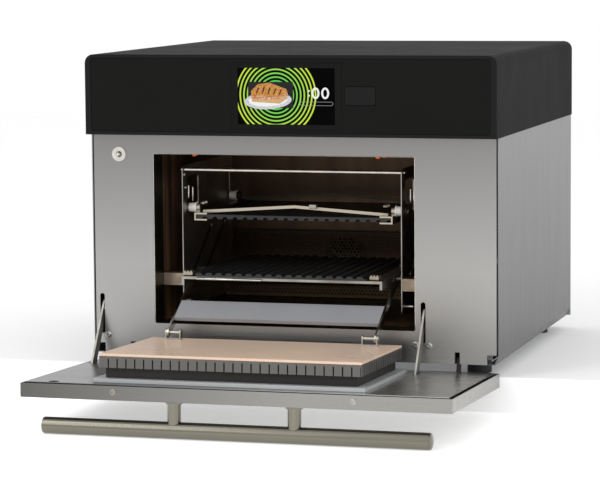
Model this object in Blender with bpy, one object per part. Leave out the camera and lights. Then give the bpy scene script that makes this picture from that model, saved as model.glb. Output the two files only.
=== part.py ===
"""Countertop rapid-cook oven with a drop-down door and a sandwich press that the door drives.

Metres, +X to the right, +Y towards the back, +Z up. The origin is under the middle of the
object, level with the lowest point of the open door's handle. Rest pose: door fully open.

Sizes of the body are given as depth behind the stainless front and height above the body's
underside. Sizes of the door are given the same way, as they are with the door closed, so
that what enters the cooking opening is sized from that opening.
"""

import math

import bmesh
import bpy
from mathutils import Matrix, Vector
from mathutils.geometry import tessellate_polygon

# ---- Overall sizes ----
WIDTH = 0.650
DEPTH = 0.586
FRONT_HEIGHT = 0.343
CASING_HEIGHT = 0.124
FOOT_HEIGHT = 0.021
FIT = 0.0003
SHEET = 0.0012
PANEL = 0.0015

# ---- Body shell ----
SIDE_INSET = 0.0015
SEAM = 0.002
SIDE_HEM_HEIGHT = 0.013
SIDE_HEM_INSET = 0.006
SIDE_HEM_FLANGE = 0.010
PAN_LIFT = 0.003
PAN_FLANGE = 0.015
PAN_FRONT = 0.034
FOOT_RADIUS = 0.019
FOOT_SIDE_INSET = 0.045
FOOT_END_INSET = 0.070
VENT_ROWS = 7
VENT_PITCH = 0.014
VENT_SLOT = 0.005
VENT_WIDTH = 0.200
GLAND_X = 0.262
GLAND_HEIGHT = 0.060
GLAND_RADIUS = 0.013
GLAND_FLANGE = 0.017
GLAND_BORE = 0.0055
GLAND_REACH = 0.006

# ---- Cooking opening and cavity ----
CAVITY_CENTRE_X = -0.0143
OPENING_WIDTH = 0.418
OPENING_BOTTOM = 0.0482
OPENING_TOP = 0.3135
OPENING_CORNER = 0.004
CAVITY_DEPTH = 0.370
BLOWER_HEIGHT = 0.108
BLOWER_INLET_RADIUS = 0.042
BAFFLE_GAP = 0.018
BAFFLE_TOP = 0.160
BAFFLE_SLOTS = 4
HEATER_RADIUS = 0.0035
HEATER_HEIGHT = 0.078
HEATER_FROM_BACK = 0.060
HEATER_REACH = 0.024

# ---- Black casing ----
CASING_OVERHANG = 0.0212
CASING_CORNER = 0.0135
BEZEL_DEPTH = 0.008
BEZEL_GAP = 0.001
BEZEL_SIDE = 0.009
BEZEL_EDGE = 0.005
CASING_WALL = 0.002
CONTROL_SET_BACK = 0.001
SCREEN_WIDTH = 0.1534
SCREEN_HEIGHT = 0.086
SCREEN_FRAME_SIDE = 0.0112
SCREEN_FRAME_TOP = 0.0075
SCREEN_CENTRE_X = -0.0016
SCREEN_CENTRE_H = 0.0612
SCREEN_GLASS_SET_BACK = 0.0018
SCREEN_GLASS = 0.005
FLAP_WIDTH = 0.048
FLAP_HEIGHT = 0.0275
FLAP_THICK = 0.002
FLAP_CORNER = 0.004
FLAP_FROM_SCREEN = 0.0045
FLAP_CENTRE_H = 0.0625
FLAP_GAP = 0.0008

# ---- Door ----
DOOR_TILT = math.radians(2.15)
DOOR_WIDTH = 0.648
DOOR_LENGTH = 0.3155
DOOR_THICK = 0.0224
DOOR_GAP = 0.003
DOOR_CLOSED_BOTTOM = 0.014
DOOR_PANEL_INSET = 0.006
PIVOT_DEPTH = 0.0132
PIVOT_HEIGHT = 0.0047
HINGE_X = 0.2594
HINGE_PIN_RADIUS = 0.0028
HINGE_EYE_RADIUS = 0.0062
HINGE_ARM_THICK = 0.005
HINGE_CHEEK = 0.003
HINGE_NOTCH_TOP = 0.018
HINGE_FLANGE = 0.003

# ---- Door plug ----
PLUG_SIDE_GAP = 0.0103
PLUG_END_GAP = 0.0147
PLUG_HEIGHT = 0.042
PLATE_THICK = 0.004
PLATE_EDGE = 0.001
SKIRT_HEIGHT = 0.0165
SKIRT_WALL = 0.0015
CORE_INSET = 0.008
BASE_SIDE_GAP = 0.0037
BASE_END_GAP = 0.0077
BASE_HEIGHT = 0.006

# ---- Handle ----
HANDLE_RADIUS = 0.01235
HANDLE_LENGTH = 0.580
HANDLE_STANDOFF = 0.0414
HANDLE_FROM_EDGE = 0.0114
POST_RADIUS = 0.0098
POST_SPACING = 0.181
POST_FOOT_RADIUS = 0.0125
POST_FOOT = 0.0025

# ---- Door stays ----
STAY_LEFT_X = -0.3095
STAY_RIGHT_X = 0.2065
STAY_THICK = 0.003
STAY_WIDTH = 0.016
STAY_LENGTH = 0.108
STAY_PIVOT_DEPTH = -0.0068
STAY_PIVOT_HEIGHT = 0.0629
STAY_PIN_RADIUS = 0.003
STAY_OPEN_ANGLE = math.radians(56.5)
STAY_SLOT_BOTTOM = 0.030
STAY_SLOT_TOP = 0.093
STAY_SLOT_WIDTH = 0.0075
STAY_DOOR_SLOT = (0.044, 0.079)

# ---- Door catch ----
CATCH_X = -0.2783
CATCH_HEIGHT = 0.3115
CATCH_RING_RADIUS = 0.0112
CATCH_RING_THICK = 0.0015
CATCH_BORE = 0.0045
CATCH_BALL_RADIUS = 0.004
CATCH_BALL_REACH = 0.004
CATCH_STEM = 0.016
STRIKE_RADIUS = 0.008

# ---- Press frame in the cavity ----
SIDE_PLATE_X = 0.177
SIDE_PLATE_FRONT = 0.045
SIDE_PLATE_BACK = 0.300
SIDE_PLATE_BOTTOM = 0.064
SIDE_PLATE_TOP = 0.291
SIDE_PLATE_CORNER = 0.008
SPACER_DEPTH = 0.030
SPACER_HEIGHT = 0.019
SPACER_LEVEL = 0.1125
CROSSBAR_RADIUS = 0.0032
CROSSBAR_DEPTH = 0.053
CROSSBAR_LEVEL = 0.2847
BOLT_RADIUS = 0.003
BOLT_DEPTH = 0.068
BOLT_LEVEL = 0.0765
BOLT_INBOARD = 0.004
BOLT_OUTBOARD = 0.012

# ---- Lower grill and its carriage ----
CARRIAGE_HALF_WIDTH = 0.160
CARRIAGE_FRONT = -0.012
CARRIAGE_BACK = 0.245
CARRIAGE_THICK = 0.004
CARRIAGE_RAIL = 0.022
CARRIAGE_SEAT = 0.0077
CARRIAGE_STRIP = 0.004
CARRIAGE_STRIP_DROP = 0.0055
PRESS_PIVOT_DEPTH = 0.060
PRESS_PIVOT_HEIGHT = 0.1165
PRESS_SLIDE_ANGLE = math.radians(35.0)
STUD_RADIUS = 0.004
GUIDE_PIN_RADIUS = 0.0035
GUIDE_PIN_OFFSETS = (0.030, 0.100)
GUIDE_CLEARANCE = 0.0006
GRILL_HALF_WIDTH = 0.1365
GRILL_FRONT = -0.016
GRILL_BACK = 0.250
GRILL_PLATE = 0.0030
RIDGE_HEIGHT = 0.0033
RIDGE_COUNT = 17

# ---- Upper grill and its frame ----
UPPER_GRILL_HALF_WIDTH = 0.1570
UPPER_GRILL_FRONT = 0.054
UPPER_GRILL_BACK = 0.300
UPPER_GRILL_BOTTOM = 0.2076
UPPER_RIDGE_COUNT = 19
UPPER_RAIL_HALF_WIDTH = UPPER_GRILL_HALF_WIDTH + 0.0030
UPPER_RAIL_REACH = 0.0205
UPPER_RAIL_WALL = 0.0024
UPPER_RAIL_GAP = 0.0004
UPPER_PIN_RADIUS = 0.0045
UPPER_BUSH_RADIUS = 0.0065
UPPER_PIN_DEPTHS = (0.072, 0.282)
UPPER_PIN_LEVEL = 0.2235
UPPER_FLOAT = 0.0434
UPPER_WIRE = 0.0034
UPPER_WIRE_RISE = 0.010
UPPER_WIRE_INSET = 0.012
WINDOW_CLEARANCE = 0.0012
WINDOW_BACK = 0.1225

# ---- Lift arms and their clevises on the door ----
ARM_X = 0.1638
ARM_THICK = 0.0025
ARM_WIDTH = 0.013
CLEVIS_PIN_HEIGHT = 0.0107
CLEVIS_PIN_CLOSED_HEIGHT = 0.0853
CLEVIS_PIN_RADIUS = 0.0025
CLEVIS_EAR = 0.0016
CLEVIS_WIDTH = 0.024
CLEVIS_DEPTH = 0.012
CLEVIS_FOOT = 0.0016
CLEVIS_PLAY = 0.0006
ARM_EYE_CLEARANCE = 0.0004
APRON_FROM = 0.20
APRON_TO = 0.50
APRON_LIP = 0.006

# ---- Works inside the shell ----
BLOWER_WHEEL_RADIUS = 0.055
BLOWER_WHEEL_WIDTH = 0.026
BLOWER_BLADES = 12
MOTOR_RADIUS = 0.042
MOTOR_LENGTH = 0.090
MOTOR_SHAFT_RADIUS = 0.004
GUIDE_DUCT = (0.040, 0.090, 0.100)
MAGNETRON = (0.070, 0.085, 0.095)
WORKS_DEPTH = 0.230
WORKS_LEVEL = 0.150
TRANSFORMER = (0.095, 0.120, 0.095)
TRANSFORMER_DEPTH = 0.450
BOARD = (0.240, 0.090, 0.0016)
BOARD_LIFT = 0.012
DECK_LIFT = 0.0035

# ---- Values worked out from the sizes above ----
CLOSING_ANGLE = math.pi / 2 - DOOR_TILT
HALF_BODY = WIDTH / 2 - SIDE_INSET
HALF_FRONT = HALF_BODY - PANEL - SEAM
DOOR_HALF = DOOR_WIDTH / 2
DOOR_FACE = -DOOR_GAP
DOOR_BACK = -DOOR_GAP - DOOR_THICK
DOOR_CLOSED_TOP = DOOR_CLOSED_BOTTOM + DOOR_LENGTH
HANDLE_CLOSED_DEPTH = DOOR_BACK - HANDLE_STANDOFF
HANDLE_CLOSED_HEIGHT = DOOR_CLOSED_TOP - HANDLE_FROM_EDGE
PLUG_FACE = DOOR_FACE + PLUG_HEIGHT
CLEVIS_PIN_DEPTH = PLUG_FACE + CLEVIS_PIN_HEIGHT
CASING_FRONT = -CASING_OVERHANG
COVER_FRONT = CASING_FRONT + BEZEL_DEPTH + BEZEL_GAP
TOTAL_HEIGHT = FRONT_HEIGHT + CASING_HEIGHT


def turned(y, z, angle):
    """The point (y, z) turned by angle about +X."""
    return (y * math.cos(angle) - z * math.sin(angle), y * math.sin(angle) + z * math.cos(angle))


def on_door(depth, height):
    """A point of the closed door, as (y, z) from the hinge with the door lying level."""
    return (PIVOT_HEIGHT - height, depth - PIVOT_DEPTH)


def with_door_open(depth, height):
    """(depth, height) that a point of the closed door has at rest, with the door open."""
    y, z = turned(*on_door(depth, height), -DOOR_TILT)
    return (PIVOT_DEPTH + y, PIVOT_HEIGHT + z)


HANDLE_REST = with_door_open(HANDLE_CLOSED_DEPTH, HANDLE_CLOSED_HEIGHT)
FRONT_Y = (HANDLE_RADIUS - HANDLE_REST[0] - DEPTH) / 2
BODY_Z = HANDLE_RADIUS - HANDLE_REST[1]
CLEVIS_REST = with_door_open(CLEVIS_PIN_DEPTH, CLEVIS_PIN_CLOSED_HEIGHT)
ARM_RUN = (PRESS_PIVOT_DEPTH - CLEVIS_REST[0], PRESS_PIVOT_HEIGHT - CLEVIS_REST[1])
ARM_LENGTH = math.hypot(*ARM_RUN)
ARM_ANGLE = math.atan2(ARM_RUN[1], ARM_RUN[0])


def press_travel():
    """Length of the carriage's slide that takes the lift arms from the open to the closed door."""
    run = (PRESS_PIVOT_DEPTH - CLEVIS_PIN_DEPTH, PRESS_PIVOT_HEIGHT - CLEVIS_PIN_CLOSED_HEIGHT)
    along = run[0] * math.cos(PRESS_SLIDE_ANGLE) + run[1] * math.sin(PRESS_SLIDE_ANGLE)
    return math.sqrt(along**2 - run[0] ** 2 - run[1] ** 2 + ARM_LENGTH**2) - along


PRESS_TRAVEL = press_travel()
PRESS_BACK = PRESS_TRAVEL * math.cos(PRESS_SLIDE_ANGLE)
PRESS_RISE = PRESS_TRAVEL * math.sin(PRESS_SLIDE_ANGLE)


# ---- Outlines ----
def rectangle(low, high):
    return [(low[0], low[1]), (high[0], low[1]), (high[0], high[1]), (low[0], high[1])]


def arc(centre, radius, start, end, steps):
    """Points along a circular arc, angles in degrees."""
    angles = [math.radians(start + (end - start) * i / steps) for i in range(steps + 1)]
    return [(centre[0] + radius * math.cos(a), centre[1] + radius * math.sin(a)) for a in angles]


def circle(centre, radius, sides=20):
    return arc(centre, radius, 0, 360, sides)[:-1]


def rounded(low, high, radius, top_only=False):
    """Rectangle with round corners, or with only its two upper corners round."""
    lower = [(low[0], low[1]), (high[0], low[1])]
    if not top_only:
        lower = arc((low[0] + radius, low[1] + radius), radius, 180, 270, 4)
        lower += arc((high[0] - radius, low[1] + radius), radius, 270, 360, 4)
    upper = arc((high[0] - radius, high[1] - radius), radius, 0, 90, 6)
    return lower + upper + arc((low[0] + radius, high[1] - radius), radius, 90, 180, 6)


def obround(start, end, radius, steps=7):
    """Slot outline with round ends about the points start and end."""
    heading = math.degrees(math.atan2(end[1] - start[1], end[0] - start[0]))
    points = arc(end, radius, heading - 90, heading + 90, steps)
    return points + arc(start, radius, heading + 90, heading + 270, steps)


def body_space(outline):
    """A (depth, height) outline in world (y, z)."""
    return [(FRONT_Y + depth, BODY_Z + height) for depth, height in outline]


def front_space(outline):
    """An (x, height) outline in world (x, z)."""
    return [(x, BODY_Z + height) for x, height in outline]


def top_space(outline):
    """An (x, depth) outline in world (x, y)."""
    return [(x, FRONT_Y + depth) for x, depth in outline]


# ---- Solids ----
def finish(name, bm, look=None, parent=None):
    """Object made from a bmesh. A cutter or other helper has no look, and isn't rendered."""
    bmesh.ops.recalc_face_normals(bm, faces=bm.faces)
    mesh = bpy.data.meshes.new(name)
    bm.to_mesh(mesh)
    bm.free()
    obj = bpy.data.objects.new(name, mesh)
    bpy.context.scene.collection.objects.link(obj)
    obj.parent = parent
    if look is None:
        obj.hide_render = True
        obj.display_type = "WIRE"
    else:
        mesh.materials.append(material(name, *look))
    return obj


def material(name, color, roughness, metallic):
    made = bpy.data.materials.new(name)
    made.use_nodes = True
    shader = made.node_tree.nodes["Principled BSDF"]
    shader.inputs["Base Color"].default_value = (*color, 1.0)
    shader.inputs["Roughness"].default_value = roughness
    shader.inputs["Metallic"].default_value = metallic
    return made


def place(axis, a, b, level):
    return {"X": (level, a, b), "Y": (a, level, b), "Z": (a, b, level)}[axis]


def plate(name, axis, low, high, outline, look=None, holes=(), parent=None):
    """Flat piece of the given outline and holes, between two levels of an axis."""
    loops = [outline, *holes]
    flat = [point for loop in loops for point in loop]
    facets = tessellate_polygon([[Vector((a, b, 0)) for a, b in loop] for loop in loops])
    bm = bmesh.new()
    layers = [[bm.verts.new(place(axis, a, b, level)) for a, b in flat] for level in (low, high)]
    for corners in facets:
        for layer in layers:
            bm.faces.new([layer[i] for i in corners])
    start = 0
    for loop in loops:
        for i in range(len(loop)):
            near, far = start + i, start + (i + 1) % len(loop)
            bm.faces.new([layers[0][near], layers[0][far], layers[1][far], layers[1][near]])
        start += len(loop)
    return finish(name, bm, look, parent)


def block(name, low, high, look=None, parent=None):
    return plate(name, "Z", low[2], high[2], rectangle(low[:2], high[:2]), look, parent=parent)


def rod(name, axis, centre, radius, low, high, look=None, parent=None, sides=20):
    return smooth(plate(name, axis, low, high, circle(centre, radius, sides), look, parent=parent))


def smooth(obj):
    for face in obj.data.polygons:
        face.use_smooth = True
    obj.data.set_sharp_from_angle(angle=math.radians(35))
    return obj


def combine(target, operation, others):
    for other in others:
        other.hide_render = True
        other.display_type = "WIRE"
        step = target.modifiers.new(other.name, "BOOLEAN")
        step.operation = operation
        step.solver = "EXACT"
        step.object = other
    return target


def cut(target, *others):
    return combine(target, "DIFFERENCE", others)


def join(target, *others):
    return combine(target, "UNION", others)


def bevel(obj, width):
    step = obj.modifiers.new("edge_round", "BEVEL")
    step.width = width
    step.segments = 2
    step.limit_method = "ANGLE"
    step.angle_limit = math.radians(50)
    return obj


def pivot(name, location, turn=0.0, parent=None):
    """Empty on a joint's axis, which the moving pieces hang from."""
    empty = bpy.data.objects.new(name, None)
    bpy.context.scene.collection.objects.link(empty)
    empty.parent = parent
    empty.matrix_local = Matrix.Translation(location) @ Matrix.Rotation(turn, 4, "X")
    return empty


STEEL = ((0.62, 0.62, 0.61), 0.32, 1.0)
DULL_STEEL = ((0.45, 0.45, 0.44), 0.45, 1.0)
GALVANISED = ((0.50, 0.52, 0.53), 0.50, 1.0)
BRIGHT_STEEL = ((0.75, 0.75, 0.73), 0.20, 1.0)
BLACK_CASE = ((0.035, 0.037, 0.041), 0.40, 0.0)
BLACK_PANEL = ((0.020, 0.020, 0.020), 0.55, 0.0)
BLACK_GLASS = ((0.005, 0.005, 0.006), 0.08, 0.0)
CAVITY_STEEL = ((0.16, 0.12, 0.09), 0.30, 1.0)
GRILL_IRON = ((0.030, 0.032, 0.034), 0.45, 0.3)
CERAMIC_TAN = ((0.53, 0.40, 0.29), 0.15, 0.0)
DARK_CORE = ((0.030, 0.028, 0.026), 0.70, 0.0)
RUBBER = ((0.020, 0.020, 0.020), 0.80, 0.0)
BOARD_GREEN = ((0.020, 0.160, 0.060), 0.50, 0.0)
COPPER = ((0.70, 0.32, 0.18), 0.30, 1.0)


# ---- Body shell ----
def opening_outline(gap=0.0):
    low = (CAVITY_CENTRE_X - OPENING_WIDTH / 2 - gap, OPENING_BOTTOM - gap)
    high = (CAVITY_CENTRE_X + OPENING_WIDTH / 2 + gap, OPENING_TOP + gap)
    return rounded(low, high, OPENING_CORNER + gap)


def stay_slot(x):
    radius = STAY_SLOT_WIDTH / 2
    return obround((x, STAY_SLOT_BOTTOM + radius), (x, STAY_SLOT_TOP - radius), radius)


def make_front_panel():
    """Stainless front with the cooking opening, the stay slots and notches for the hinge arms."""
    notch = HINGE_ARM_THICK / 2 + HINGE_CHEEK / 2
    foot = HALF_BODY - SIDE_HEM_INSET - SIDE_HEM_FLANGE - SEAM
    step = SIDE_HEM_HEIGHT + SEAM
    outline = [(-HALF_FRONT, step), (-foot, step), (-foot, 0)]
    for x in (-HINGE_X, HINGE_X):
        outline += [(x - notch, 0), (x - notch, HINGE_NOTCH_TOP), (x + notch, HINGE_NOTCH_TOP), (x + notch, 0)]
    outline += [(foot, 0), (foot, step), (HALF_FRONT, step)]
    outline += [(HALF_FRONT, FRONT_HEIGHT - FIT), (-HALF_FRONT, FRONT_HEIGHT - FIT)]
    holes = [opening_outline(), stay_slot(STAY_LEFT_X), stay_slot(STAY_RIGHT_X)]
    holes.append(circle((CATCH_X, CATCH_HEIGHT), CATCH_BORE + FIT, 16))
    holes = [front_space(hole) for hole in holes]
    plate("front_panel", "Y", FRONT_Y, FRONT_Y + PANEL, front_space(outline), STEEL, holes)


def make_side_panels():
    """Side sheets, each folded inwards along its lower edge."""
    inner = HALF_BODY - PANEL
    folded = HALF_BODY - SIDE_HEM_INSET
    profile = [
        (HALF_BODY, FRONT_HEIGHT - FIT),
        (inner, FRONT_HEIGHT - FIT),
        (inner, SIDE_HEM_HEIGHT),
        (folded - PANEL, PANEL),
        (folded - SIDE_HEM_FLANGE, PANEL),
        (folded - SIDE_HEM_FLANGE, 0),
        (folded, 0),
        (HALF_BODY, SIDE_HEM_HEIGHT),
    ]
    for name, side in (("side_panel_left", -1), ("side_panel_right", 1)):
        outline = front_space([(side * x, height) for x, height in profile])
        plate(name, "Y", FRONT_Y + FIT, FRONT_Y + DEPTH - PANEL - FIT, outline, STEEL)


def make_rear_panel():
    """Back sheet over the full height, with two stacks of cooling slots."""
    outline = [(-WIDTH / 2, FRONT_HEIGHT), (-HALF_BODY, FRONT_HEIGHT), (-HALF_BODY, 0), (HALF_BODY, 0)]
    outline += [(HALF_BODY, FRONT_HEIGHT), (WIDTH / 2, FRONT_HEIGHT)]
    outline += rounded((-WIDTH / 2, FRONT_HEIGHT), (WIDTH / 2, TOTAL_HEIGHT), CASING_CORNER, True)[2:]
    holes = []
    for x in (-WIDTH / 4, WIDTH / 4):
        for row in range(VENT_ROWS):
            level = FRONT_HEIGHT / 2 + (row - (VENT_ROWS - 1) / 2) * VENT_PITCH
            reach = VENT_WIDTH / 2 - VENT_SLOT / 2
            holes.append(front_space(obround((x - reach, level), (x + reach, level), VENT_SLOT / 2, 3)))
    holes.append(front_space(circle((GLAND_X, GLAND_HEIGHT), GLAND_RADIUS + FIT, 24)))
    back = FRONT_Y + DEPTH
    plate("rear_panel", "Y", back - PANEL, back, front_space(outline), GALVANISED, holes)


def make_cord_gland():
    """Snap-in bushing in the rear panel, with an open bore for the supply cord."""
    back = FRONT_Y + DEPTH
    centre = front_space([(GLAND_X, GLAND_HEIGHT)])[0]
    flange_face = back - PANEL - FIT
    gland = rod("cord_gland", "Y", centre, GLAND_FLANGE, flange_face - GLAND_REACH / 2, flange_face, RUBBER, sides=24)
    neck = rod("gland_neck", "Y", centre, GLAND_RADIUS, flange_face - GLAND_REACH, back, sides=24)
    bore = rod("gland_bore", "Y", centre, GLAND_BORE, flange_face - 2 * GLAND_REACH, back + GLAND_REACH, sides=16)
    cut(join(gland, neck), bore)


def make_base_pan():
    """Floor of the body: a tray with its four edges turned up."""
    half = HALF_BODY - SIDE_HEM_INSET - SIDE_HEM_FLANGE - FIT
    low = (-half, FRONT_Y + PAN_FRONT, BODY_Z + PAN_LIFT)
    high = (half, FRONT_Y + DEPTH - PANEL - FIT, BODY_Z + PAN_LIFT + PAN_FLANGE)
    pan = block("base_pan", low, high, GALVANISED)
    inside_low = [value + PANEL for value in low]
    inside_high = (high[0] - PANEL, high[1] - PANEL, high[2] + PANEL)
    cut(pan, block("base_pan_inside", inside_low, inside_high))


def make_feet():
    """Four round rubber feet under the pan."""
    top = BODY_Z + PAN_LIFT - FIT
    for side, x in (("left", -1), ("right", 1)):
        for end, depth in (("front", FOOT_END_INSET), ("rear", DEPTH - FOOT_END_INSET)):
            centre = (x * (HALF_BODY - FOOT_SIDE_INSET), FRONT_Y + depth)
            rod(f"foot_{end}_{side}", "Z", centre, FOOT_RADIUS, BODY_Z - FOOT_HEIGHT, top, RUBBER, sides=16)


# ---- Cavity ----
def make_cavity():
    """Open-fronted cooking box, with the blower's inlet in its back wall."""
    half = OPENING_WIDTH / 2
    front = FRONT_Y + PANEL + FIT
    low = (CAVITY_CENTRE_X - half, front, BODY_Z + OPENING_BOTTOM)
    high = (CAVITY_CENTRE_X + half, FRONT_Y + CAVITY_DEPTH, BODY_Z + OPENING_TOP)
    outside = [value - SHEET for value in low], [value + SHEET for value in high]
    outside[0][1] = front
    liner = block("cavity_liner", *outside, CAVITY_STEEL)
    hollow = block("cavity_hollow", (low[0], front - PANEL, low[2]), high)
    inlet = rod(
        "cavity_inlet", "Y", (CAVITY_CENTRE_X, BODY_Z + BLOWER_HEIGHT), BLOWER_INLET_RADIUS, high[1] - PANEL, high[1] + 2 * SHEET
    )
    cut(liner, hollow, inlet)


def make_baffle():
    """Low slotted screen in front of the blower's inlet."""
    half = OPENING_WIDTH / 2 - 4 * SHEET
    low = (CAVITY_CENTRE_X - half, OPENING_BOTTOM + SHEET)
    high = (CAVITY_CENTRE_X + half, BAFFLE_TOP)
    pitch = (high[1] - low[1]) / (BAFFLE_SLOTS + 1)
    holes = []
    for row in range(BAFFLE_SLOTS):
        level = low[1] + (row + 1) * pitch
        holes.append(obround((low[0] + pitch, level), (high[0] - pitch, level), pitch / 5, 4))
    back = FRONT_Y + CAVITY_DEPTH - BAFFLE_GAP
    holes = [front_space(hole) for hole in holes]
    plate("rear_baffle", "Y", back - SHEET, back, front_space(rectangle(low, high)), CAVITY_STEEL, holes)


def make_heater():
    """Heating rod across the back of the cavity, bent back into the rear wall at both ends."""
    half = OPENING_WIDTH / 2 - HEATER_REACH
    depth = CAVITY_DEPTH - HEATER_FROM_BACK
    back = CAVITY_DEPTH - BAFFLE_GAP - SHEET - 2 * FIT
    curve = bpy.data.curves.new("heater_element", "CURVE")
    curve.dimensions = "3D"
    curve.bevel_depth = HEATER_RADIUS
    curve.bevel_resolution = 2
    curve.use_fill_caps = True
    points = [(-half, back)]
    points += arc((-half + HEATER_REACH, depth + HEATER_REACH), HEATER_REACH, 180, 270, 5)
    points += arc((half - HEATER_REACH, depth + HEATER_REACH), HEATER_REACH, 270, 360, 5)
    points.append((half, back))
    spline = curve.splines.new("POLY")
    spline.points.add(len(points) - 1)
    for point, (x, y) in zip(spline.points, points):
        point.co = (CAVITY_CENTRE_X + x, FRONT_Y + y, BODY_Z + HEATER_HEIGHT, 1)
    heater = bpy.data.objects.new("heater_element", curve)
    bpy.context.scene.collection.objects.link(heater)
    curve.materials.append(material("heater_element", *DULL_STEEL))


# ---- Black casing ----
def make_casing():
    """Wrapped cover, front bezel and the deck that closes the casing from below."""
    low, high = (-WIDTH / 2, FRONT_HEIGHT), (WIDTH / 2, TOTAL_HEIGHT)
    outer = front_space(rounded(low, high, CASING_CORNER, top_only=True))
    wall = CASING_WALL
    inner_low = (low[0] + wall, FRONT_HEIGHT)
    inner_high = (high[0] - wall, high[1] - wall)
    inside = rounded(inner_low, inner_high, CASING_CORNER - wall, top_only=True)
    ring = outer[1:] + outer[:1] + front_space(inside[:1] + inside[:0:-1])
    cover_back = FRONT_Y + DEPTH - PANEL - FIT
    smooth(plate("top_cover", "Y", FRONT_Y + COVER_FRONT, cover_back, ring, BLACK_CASE))
    hole_low = (low[0] + BEZEL_SIDE, low[1] + BEZEL_EDGE)
    hole_high = (high[0] - BEZEL_SIDE, high[1] - BEZEL_EDGE)
    front = FRONT_Y + CASING_FRONT
    hole = front_space(rounded(hole_low, hole_high, BEZEL_EDGE))
    smooth(plate("casing_bezel", "Y", front, front + BEZEL_DEPTH, outer, BLACK_CASE, [hole]))
    deck_low = (inner_low[0] + FIT, FRONT_Y + COVER_FRONT, BODY_Z + FRONT_HEIGHT + FIT)
    deck_high = (inner_high[0] - FIT, cover_back, BODY_Z + FRONT_HEIGHT + FIT + SHEET)
    block("casing_deck", deck_low, deck_high, GALVANISED)


def screen_box(side, top):
    centre = (SCREEN_CENTRE_X, FRONT_HEIGHT + SCREEN_CENTRE_H)
    half = (SCREEN_WIDTH / 2 + side, SCREEN_HEIGHT / 2 + top)
    return (centre[0] - half[0], centre[1] - half[1]), (centre[0] + half[0], centre[1] + half[1])


def flap_box(gap=0.0):
    left = screen_box(SCREEN_FRAME_SIDE, SCREEN_FRAME_TOP)[1][0] + FLAP_FROM_SCREEN
    middle = FRONT_HEIGHT + FLAP_CENTRE_H
    low = (left - gap, middle - FLAP_HEIGHT / 2 - gap)
    return low, (left + FLAP_WIDTH + gap, middle + FLAP_HEIGHT / 2 + gap)


def make_control_panel():
    """Black fascia with a window for the touchscreen and a hole behind the port flap."""
    low = (-WIDTH / 2 + BEZEL_SIDE + FIT, FRONT_HEIGHT + BEZEL_EDGE + FIT)
    high = (WIDTH / 2 - BEZEL_SIDE - FIT, TOTAL_HEIGHT - BEZEL_EDGE - FIT)
    front = FRONT_Y + CASING_FRONT + CONTROL_SET_BACK
    holes = [front_space(rectangle(*screen_box(SCREEN_FRAME_SIDE + FIT, SCREEN_FRAME_TOP + FIT)))]
    holes.append(front_space(rounded(*flap_box(FLAP_GAP), FLAP_CORNER + FLAP_GAP)))
    outline = front_space(rounded(low, high, BEZEL_EDGE - FIT))
    plate("control_panel", "Y", front, front + CASING_WALL, outline, BLACK_PANEL, holes)


def make_screen():
    """Touchscreen glass in a frame that slopes in to it."""
    front = FRONT_Y + CASING_FRONT + CONTROL_SET_BACK
    outer = front_space(rectangle(*screen_box(SCREEN_FRAME_SIDE, SCREEN_FRAME_TOP)))
    inner = front_space(rectangle(*screen_box(0, 0)))
    frame_back = front + SCREEN_GLASS_SET_BACK + SCREEN_GLASS
    bm = bmesh.new()
    loops = [(outer, front), (inner, front + SCREEN_GLASS_SET_BACK), (inner, frame_back), (outer, frame_back)]
    rings = [[bm.verts.new((x, y, z)) for x, z in outline] for outline, y in loops]
    for ring, following in zip(rings, rings[1:] + rings[:1]):
        for i in range(4):
            bm.faces.new([ring[i], ring[(i + 1) % 4], following[(i + 1) % 4], following[i]])
    finish("screen_frame", bm, BLACK_PANEL)
    glass = front_space(rectangle(*screen_box(-FIT, -FIT)))
    plate("touchscreen", "Y", front + SCREEN_GLASS_SET_BACK, frame_back, glass, BLACK_GLASS)


def make_port_flap():
    """Small cover over the service port, hinged along the front of its right-hand edge."""
    low, high = flap_box()
    front = FRONT_Y + CASING_FRONT + CONTROL_SET_BACK
    hinge = pivot("port_flap_hinge", (high[0], front, BODY_Z + low[1]))
    outline = rounded((-FLAP_WIDTH, 0), (0, FLAP_HEIGHT), FLAP_CORNER)
    plate("port_flap", "Y", 0, FLAP_THICK, outline, BLACK_PANEL, parent=hinge)


# ---- Door ----
def door_outline(low, high):
    """An (x, closed height) rectangle as (x, y) on the level door."""
    return [(x, PIVOT_HEIGHT - height) for x, height in rectangle(low, high)]


def door_levels(front, back):
    return (front - PIVOT_DEPTH, back - PIVOT_DEPTH)


def make_door_shell(hinge):
    """Outer skin, a shallow tray, and the inner panel that closes it."""
    low, high = (-DOOR_HALF, DOOR_CLOSED_BOTTOM), (DOOR_HALF, DOOR_CLOSED_TOP)
    split = DOOR_FACE - SHEET - FIT
    bottom, top = door_levels(DOOR_BACK, split)
    skin = plate("door_outer_skin", "Z", bottom, top, door_outline(low, high), STEEL, parent=hinge)
    inside = door_outline([v + SHEET for v in low], [v - SHEET for v in high])
    cut(skin, plate("door_tray_inside", "Z", bottom + SHEET, top + SHEET, inside, parent=hinge))
    inset = DOOR_PANEL_INSET
    outline = door_outline((low[0] + inset, low[1] + inset), (high[0] - inset, high[1] - inset))
    holes = []
    for x in (STAY_LEFT_X, STAY_RIGHT_X):
        half = STAY_SLOT_WIDTH / 2
        holes.append(door_outline((x - half, STAY_DOOR_SLOT[0]), (x + half, STAY_DOOR_SLOT[1])))
    strike = (CATCH_X, PIVOT_HEIGHT - CATCH_HEIGHT)
    holes.append(circle(strike, STRIKE_RADIUS, 16))
    levels = door_levels(split + FIT, DOOR_FACE)
    panel = plate("door_inner_panel", "Z", *levels, outline, STEEL, holes, parent=hinge)
    for x in (STAY_LEFT_X, STAY_RIGHT_X):
        add_stay_pin(panel, x, levels[0], hinge)


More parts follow.
